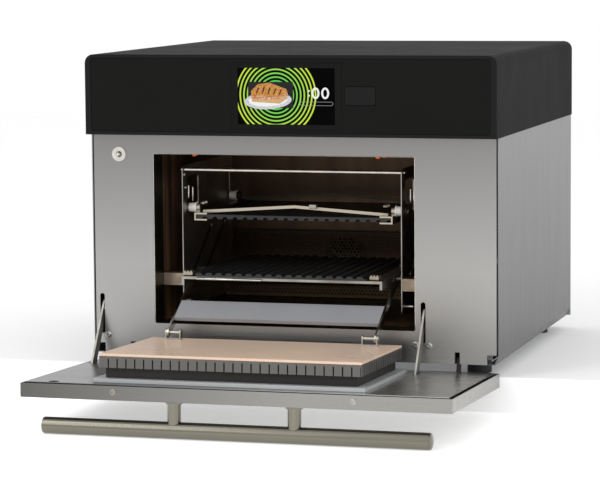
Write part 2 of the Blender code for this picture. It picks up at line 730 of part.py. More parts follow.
def add_stay_pin(panel, x, under, hinge):
    """Two lugs below a slot of the inner panel, with the pin that a stay turns on."""
    y, z = on_door(STAY_PIVOT_DEPTH, STAY_PIVOT_HEIGHT)
    inner = STAY_SLOT_WIDTH / 2 + FIT
    reach = 2 * STAY_PIN_RADIUS
    for side in (-1, 1):
        ends = sorted((x + side * inner, x + side * (inner + PANEL)))
        low, high = (ends[0], y - reach, z - reach), (ends[1], y + reach, under + SHEET / 2)
        join(panel, block(f"stay_lug_{x:.3f}_{side}", low, high, parent=hinge))
    ends = (x - inner - PANEL / 2, x + inner + PANEL / 2)
    join(panel, rod(f"stay_pin_{x:.3f}", "X", (y, z), STAY_PIN_RADIUS, *ends, parent=hinge, sides=12))


def plug_outline(side_gap, end_gap):
    half = OPENING_WIDTH / 2 - side_gap
    low = (CAVITY_CENTRE_X - half, OPENING_BOTTOM + end_gap)
    return door_outline(low, (CAVITY_CENTRE_X + half, OPENING_TOP - end_gap))


def make_plug(hinge):
    """Block on the door that fills the opening: base frame, dark core, choke skirt and plate."""
    base_top = DOOR_FACE + BASE_HEIGHT
    base = plug_outline(BASE_SIDE_GAP, BASE_END_GAP)
    plate("plug_base", "Z", *door_levels(DOOR_FACE + FIT, base_top), base, STEEL, parent=hinge)
    inset = PLUG_SIDE_GAP + CORE_INSET, PLUG_END_GAP + CORE_INSET
    core_top = PLUG_FACE - PLATE_THICK - FIT
    plate("plug_core", "Z", *door_levels(base_top + FIT, core_top), plug_outline(*inset), DARK_CORE, parent=hinge)
    outer = plug_outline(PLUG_SIDE_GAP, PLUG_END_GAP)
    inner = plug_outline(PLUG_SIDE_GAP + SKIRT_WALL, PLUG_END_GAP + SKIRT_WALL)
    levels = door_levels(core_top - SKIRT_HEIGHT, core_top)
    plate("choke_skirt", "Z", *levels, outer, STEEL, [inner], parent=hinge)
    levels = door_levels(PLUG_FACE - PLATE_THICK, PLUG_FACE)
    plate_outline = plug_outline(PLUG_SIDE_GAP, PLUG_END_GAP)
    bevel(plate("plug_plate", "Z", *levels, plate_outline, CERAMIC_TAN, parent=hinge), PLATE_EDGE)


def make_handle(hinge):
    """Round bar on two posts, saddled to the bar."""
    y, z = on_door(HANDLE_CLOSED_DEPTH, HANDLE_CLOSED_HEIGHT)
    half = HANDLE_LENGTH / 2
    bar = rod("handle_bar", "X", (y, z), HANDLE_RADIUS, -half, half, BRIGHT_STEEL, hinge, sides=28)
    bevel(bar, HANDLE_RADIUS / 8)
    skin = DOOR_BACK - PIVOT_DEPTH - FIT
    for name, side in (("handle_post_left", -1), ("handle_post_right", 1)):
        x = side * POST_SPACING / 2
        post = rod(name, "Z", (x, y), POST_RADIUS, z, skin, BRIGHT_STEEL, hinge)
        reach = POST_FOOT_RADIUS
        foot = rod(f"{name}_foot", "Z", (x, y), reach, skin - POST_FOOT, skin, parent=hinge)
        saddle = rod(f"{name}_saddle", "X", (y, z), HANDLE_RADIUS + FIT, x - 2 * reach, x + 2 * reach, parent=hinge, sides=28)
        cut(join(post, foot), saddle)


def make_hinges(hinge):
    """Gooseneck arms on the door, and the brackets in the body whose pins they turn on."""
    flange_y = on_door(0, DOOR_CLOSED_BOTTOM)[0] + FIT
    flange_low = DOOR_BACK - PIVOT_DEPTH + SHEET
    flange_high = DOOR_FACE - PIVOT_DEPTH - 2 * SHEET
    tip = HINGE_EYE_RADIUS
    outline = [(flange_y, flange_high), (flange_y, flange_low), (flange_y + HINGE_FLANGE, flange_low)]
    outline += arc((0, 0), tip, -30, 165, 12)
    for name, side in (("left", -1), ("right", 1)):
        x = side * HINGE_X
        half = HINGE_ARM_THICK / 2
        bore = circle((0, 0), HINGE_PIN_RADIUS + FIT, 16)
        plate(f"hinge_arm_{name}", "X", x - half, x + half, outline, DULL_STEEL, [bore], parent=hinge)
        make_hinge_bracket(f"hinge_bracket_{name}", x)


def make_hinge_bracket(name, x):
    """U-shaped bracket with a fixed pin between its cheeks."""
    inner = HINGE_ARM_THICK / 2 + FIT
    outer = inner + HINGE_CHEEK
    low = (x - outer, FRONT_Y + PANEL + FIT, BODY_Z)
    high = (x + outer, FRONT_Y + PAN_FRONT - FIT, BODY_Z + HINGE_NOTCH_TOP)
    bracket = block(name, low, high, GALVANISED)
    swing = PIVOT_DEPTH + HINGE_EYE_RADIUS + HINGE_FLANGE
    gap_low = (x - inner, low[1] - PANEL, low[2] - PANEL)
    gap_high = (x + inner, FRONT_Y + swing, high[2] + PANEL)
    cut(bracket, block(f"{name}_gap", gap_low, gap_high))
    axis = (FRONT_Y + PIVOT_DEPTH, BODY_Z + PIVOT_HEIGHT)
    reach = outer - HINGE_CHEEK / 2
    join(bracket, rod(f"{name}_pin", "X", axis, HINGE_PIN_RADIUS, x - reach, x + reach, sides=16))


def make_stays(hinge):
    """Flat bars that hold the open door, hinged in it and running through the front panel."""
    y, z = on_door(STAY_PIVOT_DEPTH, STAY_PIVOT_HEIGHT)
    radius = STAY_WIDTH / 2
    for name, x in (("stay_left", STAY_LEFT_X), ("stay_right", STAY_RIGHT_X)):
        joint = pivot(f"{name}_hinge", (x, y, z), DOOR_TILT + STAY_OPEN_ANGLE, hinge)
        outline = arc((0, 0), radius, 90, 270, 8) + [(STAY_LENGTH - radius, -radius)]
        outline += [(STAY_LENGTH, 0), (STAY_LENGTH, radius)]
        half = STAY_THICK / 2
        bore = circle((0, 0), STAY_PIN_RADIUS + FIT, 12)
        plate(name, "X", -half, half, outline, DULL_STEEL, [bore], parent=joint)


# ---- Catch ----
def make_catch():
    """Ring on the front panel and the sprung ball in it that holds the door shut."""
    centre = (CATCH_X, BODY_Z + CATCH_HEIGHT)
    front = FRONT_Y - FIT
    ring = circle(centre, CATCH_RING_RADIUS, 24)
    bore = circle(centre, CATCH_BORE + FIT, 16)
    smooth(plate("catch_ring", "Y", front - CATCH_RING_THICK, front, ring, BRIGHT_STEEL, [bore]))
    guide = pivot("catch_guide", (CATCH_X, FRONT_Y, BODY_Z + CATCH_HEIGHT))
    bm = bmesh.new()
    bmesh.ops.create_uvsphere(bm, u_segments=14, v_segments=10, radius=CATCH_BALL_RADIUS)
    bmesh.ops.rotate(bm, verts=bm.verts, matrix=Matrix.Rotation(math.pi / 2, 3, "X"))
    bmesh.ops.translate(bm, verts=bm.verts, vec=(0, -CATCH_BALL_REACH, 0))
    ball = smooth(finish("catch_ball", bm, BRIGHT_STEEL, guide))
    stem_radius = CATCH_BALL_RADIUS * 0.7
    stem = rod("catch_stem", "Y", (0, 0), stem_radius, -CATCH_BALL_REACH, CATCH_STEM, parent=guide, sides=12)
    join(ball, stem)


# ---- Press in the cavity ----
def slide_step(length):
    """(depth, height) that the carriage moves over a length of its slide."""
    return (length * math.cos(PRESS_SLIDE_ANGLE), length * math.sin(PRESS_SLIDE_ANGLE))


def make_press_frame():
    """Two slotted side plates, held off the cavity walls by spacers, with rods between them."""
    low = (SIDE_PLATE_FRONT, SIDE_PLATE_BOTTOM)
    high = (SIDE_PLATE_BACK, SIDE_PLATE_TOP)
    holes = []
    for offset in GUIDE_PIN_OFFSETS:
        start = (PRESS_PIVOT_DEPTH + offset, PRESS_PIVOT_HEIGHT)
        end = (start[0] + PRESS_BACK, start[1] + PRESS_RISE)
        holes.append(obround(start, end, GUIDE_PIN_RADIUS + GUIDE_CLEARANCE))
    room = UPPER_PIN_RADIUS + WINDOW_CLEARANCE
    front_pin, back_pin = UPPER_PIN_DEPTHS
    window_top = UPPER_PIN_LEVEL + UPPER_FLOAT + room
    holes.append(rounded((front_pin - room, UPPER_PIN_LEVEL - room), (WINDOW_BACK, window_top), room))
    holes.append(obround((back_pin, UPPER_PIN_LEVEL), (back_pin, UPPER_PIN_LEVEL + UPPER_FLOAT), room))
    holes.append(circle((CROSSBAR_DEPTH, CROSSBAR_LEVEL), CROSSBAR_RADIUS / 2 + FIT, 12))
    holes.append(circle((BOLT_DEPTH, BOLT_LEVEL), BOLT_RADIUS + FIT, 12))
    holes = [body_space(hole) for hole in holes]
    outline = body_space(rounded(low, high, SIDE_PLATE_CORNER))
    wall = OPENING_WIDTH / 2
    for name, side in (("left", -1), ("right", 1)):
        faces = sorted(CAVITY_CENTRE_X + side * (SIDE_PLATE_X - step) for step in (0, PANEL))
        plate(f"press_side_{name}", "X", *faces, outline, STEEL, holes)
        ends = sorted(CAVITY_CENTRE_X + side * x for x in (SIDE_PLATE_X + FIT, wall - FIT))
        low_corner = (ends[0], FRONT_Y + SIDE_PLATE_FRONT, BODY_Z + SPACER_LEVEL - SPACER_HEIGHT / 2)
        high_corner = (ends[1], low_corner[1] + SPACER_DEPTH, low_corner[2] + SPACER_HEIGHT)
        block(f"press_spacer_{name}", low_corner, high_corner, DULL_STEEL)
        reaches = (SIDE_PLATE_X - PANEL - BOLT_INBOARD, SIDE_PLATE_X + BOLT_OUTBOARD)
        ends = sorted(CAVITY_CENTRE_X + side * x for x in reaches)
        centre = body_space([(BOLT_DEPTH, BOLT_LEVEL)])[0]
        rod(f"press_bolt_{name}", "X", centre, BOLT_RADIUS, *ends, BRIGHT_STEEL, sides=12)
    make_crossbar()


def make_crossbar():
    """Bar across the top of the press frame, necked down where it enters the side plates."""
    centre = body_space([(CROSSBAR_DEPTH, CROSSBAR_LEVEL)])[0]
    inner = SIDE_PLATE_X - PANEL - FIT
    bar = rod("press_crossbar", "X", centre, CROSSBAR_RADIUS, CAVITY_CENTRE_X - inner, CAVITY_CENTRE_X + inner, BRIGHT_STEEL)
    outer = SIDE_PLATE_X + CROSSBAR_RADIUS
    ends = (CAVITY_CENTRE_X - outer, CAVITY_CENTRE_X + outer)
    join(bar, rod("press_crossbar_neck", "X", centre, CROSSBAR_RADIUS / 2, *ends, sides=12))


def ridged(half_width, bottom, count, downwards=False):
    """Cross-section, in (x, height), of a plate with a row of ridges on one face."""
    pitch = 2 * half_width / count
    base = 0 if not downwards else GRILL_PLATE + RIDGE_HEIGHT
    sign = -1 if downwards else 1
    points = [(-half_width, bottom + base), (half_width, bottom + base)]
    for i in range(count):
        right = half_width - i * pitch
        for share, rise in ((0, 0), (0.3, 0), (0.4, 1), (0.9, 1)):
            level = base + sign * (GRILL_PLATE + rise * RIDGE_HEIGHT)
            points.append((right - share * pitch, bottom + level))
    points.append((-half_width, bottom + base + sign * GRILL_PLATE))
    return points


def make_lower_grill():
    """Carriage that the arms lift along the slots, with the lower ridged plate on it."""
    guide = pivot("press_slide", (CAVITY_CENTRE_X, FRONT_Y + PRESS_PIVOT_DEPTH, BODY_Z + PRESS_PIVOT_HEIGHT))
    half, rail = CARRIAGE_HALF_WIDTH, CARRIAGE_RAIL
    front, back = CARRIAGE_FRONT - PRESS_PIVOT_DEPTH, CARRIAGE_BACK - PRESS_PIVOT_DEPTH
    outline = rectangle((-half, front), (half, back))
    window = rectangle((-half + rail, front + rail), (half - rail, back - rail))
    under = CARRIAGE_SEAT - CARRIAGE_THICK
    levels = (under, CARRIAGE_SEAT)
    carriage = plate("press_carriage", "Z", *levels, outline, DULL_STEEL, [window], parent=guide)
    stud_end = ARM_X - ARM_THICK / 2 - CLEVIS_PLAY
    pin_end = SIDE_PLATE_X + GUIDE_PIN_RADIUS
    root = half - CARRIAGE_STRIP
    for side in (-1, 1):
        ends = sorted((side * root, side * half))
        low, high = (ends[0], front, -CARRIAGE_STRIP_DROP), (ends[1], back, under + CARRIAGE_THICK / 2)
        join(carriage, block(f"carriage_strip_{side}", low, high, parent=guide))
        ends = sorted((side * root, side * stud_end))
        join(carriage, rod(f"press_stud_{side}", "X", (0, 0), STUD_RADIUS - 2 * FIT, *ends, parent=guide, sides=12))
        ends = sorted((side * root, side * pin_end))
        for offset in GUIDE_PIN_OFFSETS:
            name = f"guide_pin_{side}_{offset:.3f}"
            join(carriage, rod(name, "X", (offset, 0), GUIDE_PIN_RADIUS, *ends, parent=guide, sides=12))
    section = ridged(GRILL_HALF_WIDTH, CARRIAGE_SEAT + FIT, RIDGE_COUNT)
    ends = (GRILL_FRONT - PRESS_PIVOT_DEPTH, GRILL_BACK - PRESS_PIVOT_DEPTH)
    plate("lower_grill", "Y", *ends, section, GRILL_IRON, parent=guide)


def make_upper_grill():
    """Upper ridged plate in two channel rails, whose pins float in the side plates' windows."""
    ridges = ridged(UPPER_GRILL_HALF_WIDTH, UPPER_GRILL_BOTTOM, UPPER_RIDGE_COUNT, True)
    section = front_space([(CAVITY_CENTRE_X + x, height) for x, height in ridges])
    front, back = FRONT_Y + UPPER_GRILL_FRONT, FRONT_Y + UPPER_GRILL_BACK
    plate("upper_grill", "Y", front, back, section, GRILL_IRON)
    outer, reach, wall = UPPER_RAIL_HALF_WIDTH, UPPER_RAIL_REACH, UPPER_RAIL_WALL
    low = UPPER_GRILL_BOTTOM - UPPER_RAIL_GAP
    high = UPPER_GRILL_BOTTOM + GRILL_PLATE + RIDGE_HEIGHT + UPPER_RAIL_GAP
    profile = [(outer - reach, low - wall), (outer, low - wall), (outer, high + wall), (outer - reach, high + wall)]
    profile += [(outer - reach, high), (outer - wall, high), (outer - wall, low), (outer - reach, low)]
    rails = []
    for side in (-1, 1):
        outline = front_space([(CAVITY_CENTRE_X + side * x, height) for x, height in profile])
        look = DULL_STEEL if side < 0 else None
        name = "upper_frame" if side < 0 else "upper_rail_other"
        rails.append(plate(name, "Y", front - FIT, back + FIT, outline, look))
    frame = join(rails[0])
    half = outer - reach / 2
    level = high + wall / 2
    ramp = [(-half, level), (0, level + UPPER_WIRE_RISE), (half, level)]
    ramp += [(x, height + wall / 2 + UPPER_WIRE) for x, height in reversed(ramp)]
    wire = front_space([(CAVITY_CENTRE_X + x, height) for x, height in ramp])
    for start in (front + UPPER_WIRE_INSET, back - UPPER_WIRE_INSET - UPPER_WIRE):
        join(frame, plate(f"upper_wire_{start:.3f}", "Y", start, start + UPPER_WIRE, wire))
    join(frame, rails[1])
    pin_end = SIDE_PLATE_X + UPPER_PIN_RADIUS
    for side in (-1, 1):
        for depth in UPPER_PIN_DEPTHS:
            make_upper_pin(frame, side, depth, high + wall, pin_end)


def make_upper_pin(frame, side, depth, rail_top, pin_end):
    """Lug on a rail, with the pin that runs out through the side plate's window."""
    lug_in, lug_out = UPPER_RAIL_HALF_WIDTH - 2 * UPPER_RAIL_WALL, UPPER_RAIL_HALF_WIDTH
    ends = sorted(CAVITY_CENTRE_X + side * x for x in (lug_in, lug_out))
    half = UPPER_PIN_RADIUS
    low = (ends[0], FRONT_Y + depth - half, BODY_Z + rail_top - UPPER_RAIL_WALL)
    high = (ends[1], FRONT_Y + depth + half, BODY_Z + UPPER_PIN_LEVEL + half)
    join(frame, block(f"upper_lug_{side}_{depth:.3f}", low, high))
    centre = body_space([(depth, UPPER_PIN_LEVEL)])[0]
    ends = sorted(CAVITY_CENTRE_X + side * x for x in (lug_in, pin_end))
    join(frame, rod(f"upper_pin_{side}_{depth:.3f}", "X", centre, UPPER_PIN_RADIUS - FIT, *ends, sides=12))
    bush_end = SIDE_PLATE_X - PANEL - 2 * FIT
    ends = sorted(CAVITY_CENTRE_X + side * x for x in (lug_in, bush_end))
    join(frame, rod(f"upper_bush_{side}_{depth:.3f}", "X", centre, UPPER_BUSH_RADIUS, *ends, sides=16))


def make_lift_arms(hinge):
    """Arms from the door's clevises up to the carriage, with the drip apron between them."""
    y, z = on_door(CLEVIS_PIN_DEPTH, CLEVIS_PIN_CLOSED_HEIGHT)
    joint = pivot("lift_arm_hinge", (CAVITY_CENTRE_X, y, z), DOOR_TILT + ARM_ANGLE, hinge)
    radius = ARM_WIDTH / 2
    outline = obround((0, 0), (ARM_LENGTH, 0), radius)
    eyes = [circle((0, 0), CLEVIS_PIN_RADIUS + ARM_EYE_CLEARANCE, 12)]
    for name, side in (("left", -1), ("right", 1)):
        faces = sorted(side * (ARM_X + step * ARM_THICK / 2) for step in (-1, 1))
        plate(f"lift_arm_{name}", "X", *faces, outline, STEEL, eyes, parent=joint)
        make_clevis(f"clevis_{name}", side, hinge)
    start, end = ARM_LENGTH * APRON_FROM, ARM_LENGTH * APRON_TO
    fold = [(start, radius), (start, radius - APRON_LIP), (start + SHEET, radius - APRON_LIP)]
    fold += [(start + SHEET, radius - SHEET), (end, radius - SHEET), (end, radius)]
    half = ARM_X - ARM_THICK / 2 - FIT
    plate("drip_apron", "X", -half, half, fold, STEEL, parent=joint)


def make_clevis(name, side, hinge):
    """Two ears on a foot, bolted to the plug's plate. The pin stands in both ears and the arm turns on it."""
    y, z = on_door(CLEVIS_PIN_DEPTH, CLEVIS_PIN_CLOSED_HEIGHT)
    foot = z - CLEVIS_PIN_HEIGHT + FIT
    outer = ARM_X + ARM_THICK / 2 + CLEVIS_PLAY + CLEVIS_EAR
    inner = outer - CLEVIS_WIDTH
    half = CLEVIS_DEPTH / 2
    ears = arc((y, z), half, 0, 180, 8) + [(y - half, foot), (y + half, foot)]
    xs = sorted(CAVITY_CENTRE_X + side * x for x in (outer, inner))
    clevis = plate(name, "X", *xs, ears, BRIGHT_STEEL, parent=hinge)
    gap = sorted(CAVITY_CENTRE_X + side * x for x in (outer - CLEVIS_EAR, inner + CLEVIS_EAR))
    cut(clevis, block(f"{name}_gap", (gap[0], y - 2 * half, foot + CLEVIS_FOOT), (gap[1], y + 2 * half, z + 2 * half), parent=hinge))
    join(clevis, rod(f"{name}_pin", "X", (y, z), CLEVIS_PIN_RADIUS, *xs, parent=hinge, sides=12))


# ---- Works inside the shell ----
def make_blower():
    """Blower wheel behind the cavity's inlet, and the motor that turns it."""
    centre = (CAVITY_CENTRE_X, BODY_Z + BLOWER_HEIGHT)
    start = FRONT_Y + CAVITY_DEPTH + SHEET + 10 * FIT
    hub = pivot("blower_axle", (centre[0], start, centre[1]))
    inner = BLOWER_WHEEL_RADIUS * 0.30
    outline = []
    for i in range(BLOWER_BLADES):
        turn = 360 / BLOWER_BLADES
        outline += arc((0, 0), inner, i * turn, (i + 0.7) * turn, 2)
        outline += arc((0, 0), BLOWER_WHEEL_RADIUS, (i + 0.78) * turn, (i + 0.92) * turn, 1)
    bore = circle((0, 0), MOTOR_SHAFT_RADIUS + FIT, 12)
    plate("blower_wheel", "Y", 0, BLOWER_WHEEL_WIDTH, outline, DULL_STEEL, [bore], parent=hub)
    end = start + BLOWER_WHEEL_WIDTH + 10 * FIT
    motor = rod("blower_motor", "Y", centre, MOTOR_RADIUS, end, end + MOTOR_LENGTH, GALVANISED, sides=24)
    join(motor, rod("blower_shaft", "Y", centre, MOTOR_SHAFT_RADIUS, start, end + SHEET, sides=12))


def make_microwave_works():
    """Waveguide against the cavity's right wall, magnetron on it, transformer behind."""
    wall = CAVITY_CENTRE_X + OPENING_WIDTH / 2 + SHEET + FIT
    low = (wall, FRONT_Y + WORKS_DEPTH, BODY_Z + WORKS_LEVEL)
    high = [value + size for value, size in zip(low, GUIDE_DUCT)]
    bevel(block("waveguide", low, high, GALVANISED), 2 * SHEET)
    low = (high[0] + FIT, low[1], low[2])
    bevel(block("magnetron", low, [v + s for v, s in zip(low, MAGNETRON)], COPPER), 2 * SHEET)
    low = (wall + PANEL, FRONT_Y + TRANSFORMER_DEPTH, BODY_Z + PAN_LIFT + PANEL + FIT)
    bevel(block("power_transformer", low, [v + s for v, s in zip(low, TRANSFORMER)], DULL_STEEL), 2 * SHEET)


def make_control_board():
    """Circuit board on the casing's deck, behind the touchscreen."""
    front = FRONT_Y + COVER_FRONT + 4 * BEZEL_DEPTH
    low = (SCREEN_CENTRE_X - BOARD[0] / 2, front, BODY_Z + FRONT_HEIGHT + BOARD_LIFT)
    board = block("control_board", low, [v + s for v, s in zip(low, BOARD)], BOARD_GREEN)
    deck_top = BODY_Z + FRONT_HEIGHT + SHEET + 2 * FIT
    for x in (-1, 1):
        centre = (SCREEN_CENTRE_X + x * BOARD[0] * 0.45, front + BOARD[1] / 2)
        join(board, rod(f"board_post_{x}", "Z", centre, DECK_LIFT, deck_top, low[2] + BOARD[2] / 2, sides=10))


def main():
    for obj in list(bpy.data.objects):
        bpy.data.objects.remove(obj)
    make_front_panel()
    make_side_panels()
    make_rear_panel()
    make_cord_gland()
    make_base_pan()
    make_feet()
    make_cavity()
    make_baffle()
    make_heater()
    make_casing()
    make_control_panel()
    make_screen()
    make_port_flap()
    make_catch()
    make_press_frame()
    make_lower_grill()
    make_upper_grill()
    hinge = pivot("door_hinge", (0, FRONT_Y + PIVOT_DEPTH, BODY_Z + PIVOT_HEIGHT), -DOOR_TILT)
    make_door_shell(hinge)
    make_plug(hinge)
    make_handle(hinge)
    make_hinges(hinge)
    make_stays(hinge)
    make_lift_arms(hinge)
    make_blower()
    make_microwave_works()
    make_control_board()


main()
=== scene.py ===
"""Looks of a countertop rapid-cook oven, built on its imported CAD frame.

The oven stands on a pale step with its door open, so that the door's handle hangs in front of
the step. Every class below is one sub-assembly of the oven: it dresses the CAD nodes it owns and
makes the visual pieces that go with them. Lengths are in metres. A depth is measured back from
the steel front, and a height up from the body's underside.
"""

import logging
import math
from collections.abc import Iterable, Sequence
from dataclasses import dataclass
from enum import Enum

import bmesh
import bpy
from mathutils import Matrix, Vector


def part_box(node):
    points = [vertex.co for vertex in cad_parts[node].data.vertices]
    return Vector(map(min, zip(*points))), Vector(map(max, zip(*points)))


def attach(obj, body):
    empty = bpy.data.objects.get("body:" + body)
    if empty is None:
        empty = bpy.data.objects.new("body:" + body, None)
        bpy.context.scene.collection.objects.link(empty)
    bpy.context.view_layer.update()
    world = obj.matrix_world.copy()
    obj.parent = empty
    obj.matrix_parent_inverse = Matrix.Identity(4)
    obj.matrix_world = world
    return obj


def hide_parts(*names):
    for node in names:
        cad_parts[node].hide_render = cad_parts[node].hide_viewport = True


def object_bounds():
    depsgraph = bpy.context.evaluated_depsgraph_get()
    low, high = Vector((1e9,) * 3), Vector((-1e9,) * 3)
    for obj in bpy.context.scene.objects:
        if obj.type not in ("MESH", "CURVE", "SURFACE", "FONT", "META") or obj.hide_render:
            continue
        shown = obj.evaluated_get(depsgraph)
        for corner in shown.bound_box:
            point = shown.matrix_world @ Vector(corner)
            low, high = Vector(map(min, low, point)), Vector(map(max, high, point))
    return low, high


LOG = logging.getLogger("oven")
Point = tuple[float, float, float]
Colour = tuple[float, float, float]

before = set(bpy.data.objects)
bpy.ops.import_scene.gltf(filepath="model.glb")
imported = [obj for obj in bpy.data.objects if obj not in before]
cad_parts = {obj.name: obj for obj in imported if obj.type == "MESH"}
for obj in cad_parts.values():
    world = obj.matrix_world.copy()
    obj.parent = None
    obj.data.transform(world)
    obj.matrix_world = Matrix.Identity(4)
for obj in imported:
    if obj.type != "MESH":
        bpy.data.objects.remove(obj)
LOW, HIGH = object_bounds()

# The oven's own frame: the steel front, the body's underside and the middle of the cavity.
FRONT_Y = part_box("front_panel")[0].y
BODY_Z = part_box("front_panel")[0].z
CAVITY_X = -0.0143

# The open door's frame: its hinge line, and how far it hangs below level.
HINGE_DEPTH = 0.0132
HINGE_HEIGHT = 0.0047
DOOR_TILT = math.radians(2.15)

# Edges flatter than this are shaded smooth.
SHARP_ANGLE = math.radians(35)


class Axis(Enum):
    """A direction that a pattern or a rod runs in."""

    X = 0
    Y = 1
    Z = 2


def at(x: float, depth: float, height: float) -> Vector:
    """Returns the place of a point given in the oven's own depth and height."""
    return Vector((x, FRONT_Y + depth, BODY_Z + height))


def door_matrix() -> Matrix:
    """Returns the matrix that lays level door coordinates onto the open door."""
    turn = Matrix.Rotation(-DOOR_TILT, 4, "X")
    return Matrix.Translation(at(0.0, HINGE_DEPTH, HINGE_HEIGHT)) @ turn


def on_door(x: float, depth: float, height: float) -> Vector:
    """Places a point of the shut door where it is with the door open.

    Args:
        x: Distance to the right of the oven's middle.
        depth: Depth with the door shut.
        height: Height with the door shut.

    Returns:
        The point with the door open.
    """
    return door_matrix() @ Vector((x, HINGE_HEIGHT - height, depth - HINGE_DEPTH))


# ---------------------------------------------------------------- materials


class NodeTree:
    """A node tree under construction, with short calls to add and feed nodes."""

    tree: bpy.types.NodeTree

    def node(self, kind: str, **values: object) -> bpy.types.Node:
        """Adds a node and sets its properties, or its inputs by name.

        Args:
            kind: The node's Blender type.
            values: Property names, or input names with underscores for spaces.

        Returns:
            The new node.
        """
        made = self.tree.nodes.new(kind)
        for key, value in values.items():
            if key in made.bl_rna.properties:
                setattr(made, key, value)
            else:
                self.feed(made, key.replace("_", " "), value)
        return made

    def feed(self, node: bpy.types.Node, socket: str | int, value: object) -> None:
        """Links or sets one input of a node.

        Args:
            node: The node to feed.
            socket: The input's name or index.
            value: An output socket to link, or a plain value.
        """
        target = node.inputs[socket]
        if isinstance(value, bpy.types.NodeSocket):
            self.tree.links.new(value, target)
        else:
            target.default_value = value


class Shader(NodeTree):
    """A node material under construction, with short calls for the nodes that the finishes use."""

    def __init__(self, name: str) -> None:
        """Starts a material with one Principled shader.

        Args:
            name: The material's name.
        """
        self.material = bpy.data.materials.new(name)
        self.material.use_nodes = True
        self.tree = self.material.node_tree
        self.surface = self.tree.nodes["Principled BSDF"]
        self.object_point = self.tree.nodes.new("ShaderNodeTexCoord").outputs["Object"]

    def math(self, operation: str, *inputs: object) -> bpy.types.NodeSocket:
        """Adds a Math node.

        Args:
            operation: The operation's name.
            inputs: Sockets or numbers, in order.

        Returns:
            The node's output.
        """
        made = self.node("ShaderNodeMath", operation=operation)
        for index, value in enumerate(inputs):
            self.feed(made, index, value)
        return made.outputs[0]

    def noise(self, scale: Point | float, detail: float = 4.0) -> bpy.types.NodeSocket:
        """A noise pattern on the object's own coordinates.

        Args:
            scale: Pattern density per metre, the same or one for each axis.
            detail: How many octaves the noise has.

        Returns:
            The noise value, from 0 to 1.
        """
        spread = (scale, scale, scale) if isinstance(scale, float) else scale
        mapping = self.node("ShaderNodeMapping")
        self.feed(mapping, "Vector", self.object_point)
        self.feed(mapping, "Scale", spread)
        made = self.node("ShaderNodeTexNoise", Scale=1.0, Detail=detail)
        self.feed(made, "Vector", mapping.outputs["Vector"])
        return made.outputs["Fac"]

    def along(self, axis: Axis) -> bpy.types.NodeSocket:
        """Returns the object coordinate along one axis."""
        split = self.node("ShaderNodeSeparateXYZ")
        self.feed(split, 0, self.object_point)
        return split.outputs[axis.value]

    def blend(self, factor: object, first: object, second: object) -> bpy.types.NodeSocket:
        """Mixes two colours.

        Args:
            factor: How much of the second colour shows.
            first: Colour or socket at 0.
            second: Colour or socket at 1.

        Returns:
            The mixed colour.
        """
        made = self.node("ShaderNodeMix", data_type="RGBA")
        self.feed(made, 0, factor)
        for index, value in ((6, first), (7, second)):
            self.feed(made, index, (*value, 1.0) if isinstance(value, tuple) else value)
        return made.outputs[2]

    def ramp(
        self, value: object, low: float, high: float, start: float = 0.0, end: float = 1.0
    ) -> bpy.types.NodeSocket:
        """Maps a value from one range to another, and clamps it.

        Args:
            value: The socket to map.
            low: Input that gives the start.
            high: Input that gives the end.
            start: Output at low.
            end: Output at high.

        Returns:
            The mapped value.
        """
        made = self.node("ShaderNodeMapRange")
        for index, item in enumerate((value, low, high, start, end)):
            self.feed(made, index, item)
        return made.outputs[0]

    def bump(self, height: bpy.types.NodeSocket, strength: float, distance: float) -> None:
        """Adds a bump to the surface.

        Args:
            height: The height pattern.
            strength: How strongly the pattern shows.
            distance: Depth of the pattern, in metres.
        """
        made = self.node("ShaderNodeBump", Strength=strength, Distance=distance)
        self.feed(made, "Height", height)
        self.feed(self.surface, "Normal", made.outputs["Normal"])

    def set(self, **values: object) -> None:
        """Sets or links inputs of the Principled shader, with underscores for spaces."""
        for key, value in values.items():
            if isinstance(value, tuple):
                value = (*value, 1.0)
            self.feed(self.surface, key.replace("_", " "), value)


def shade(colour: Colour, factor: float) -> Colour:
    """Returns a colour made lighter or darker by a factor."""
    return tuple(min(1.0, channel * factor) for channel in colour)


@dataclass(frozen=True)
class BrushedSteel:
    """Stainless sheet with fine brushed lines along one axis, with an optional gradient of painted light and
    shade along an axis.
    """

    name: str
    colour: Colour = (0.60, 0.60, 0.595)
    roughness: float = 0.30
    grain: Axis = Axis.X
    # These paint light and shade: the axis, span and second colour of a tone gradient.
    painted_light_fade: Axis | None = None
    painted_light_span: tuple[float, float] = (0.0, 1.0)
    painted_light_colour: Colour = (0.60, 0.60, 0.595)
    cloud: float = 0.025
    lines: float = 0.012

    def build(self) -> bpy.types.Material:
        """Returns the material."""
        shader = Shader(self.name)
        density = [620.0, 620.0, 620.0]
        density[self.grain.value] = 7.0
        lines = shader.noise((density[0], density[1], density[2]), detail=3.0)
        cloud = shader.noise(4.0, detail=2.0)
        mixed = shader.math("ADD", shader.math("MULTIPLY", lines, 0.55), shader.math("MULTIPLY", cloud, 0.45))
        streak = shader.ramp(mixed, 0.35, 0.65)
        tone = shader.blend(streak, shade(self.colour, 1 - self.cloud), shade(self.colour, 1 + self.cloud))
        # Painted light: the tone blends into the second colour along the axis, standing in for shade and
        # reflections.
        if self.painted_light_fade is not None:
            other = shader.blend(streak, shade(self.painted_light_colour, 1 - self.cloud), shade(self.painted_light_colour, 1 + self.cloud))
            tone = shader.blend(shader.ramp(shader.along(self.painted_light_fade), *self.painted_light_span), tone, other)
        shader.set(Base_Color=tone)
        shader.set(
            Metallic=1.0, Roughness=shader.ramp(lines, 0.3, 0.7, self.roughness - 0.04, self.roughness + 0.06)
        )
        shader.bump(lines, self.lines, 0.0001)
        return shader.material


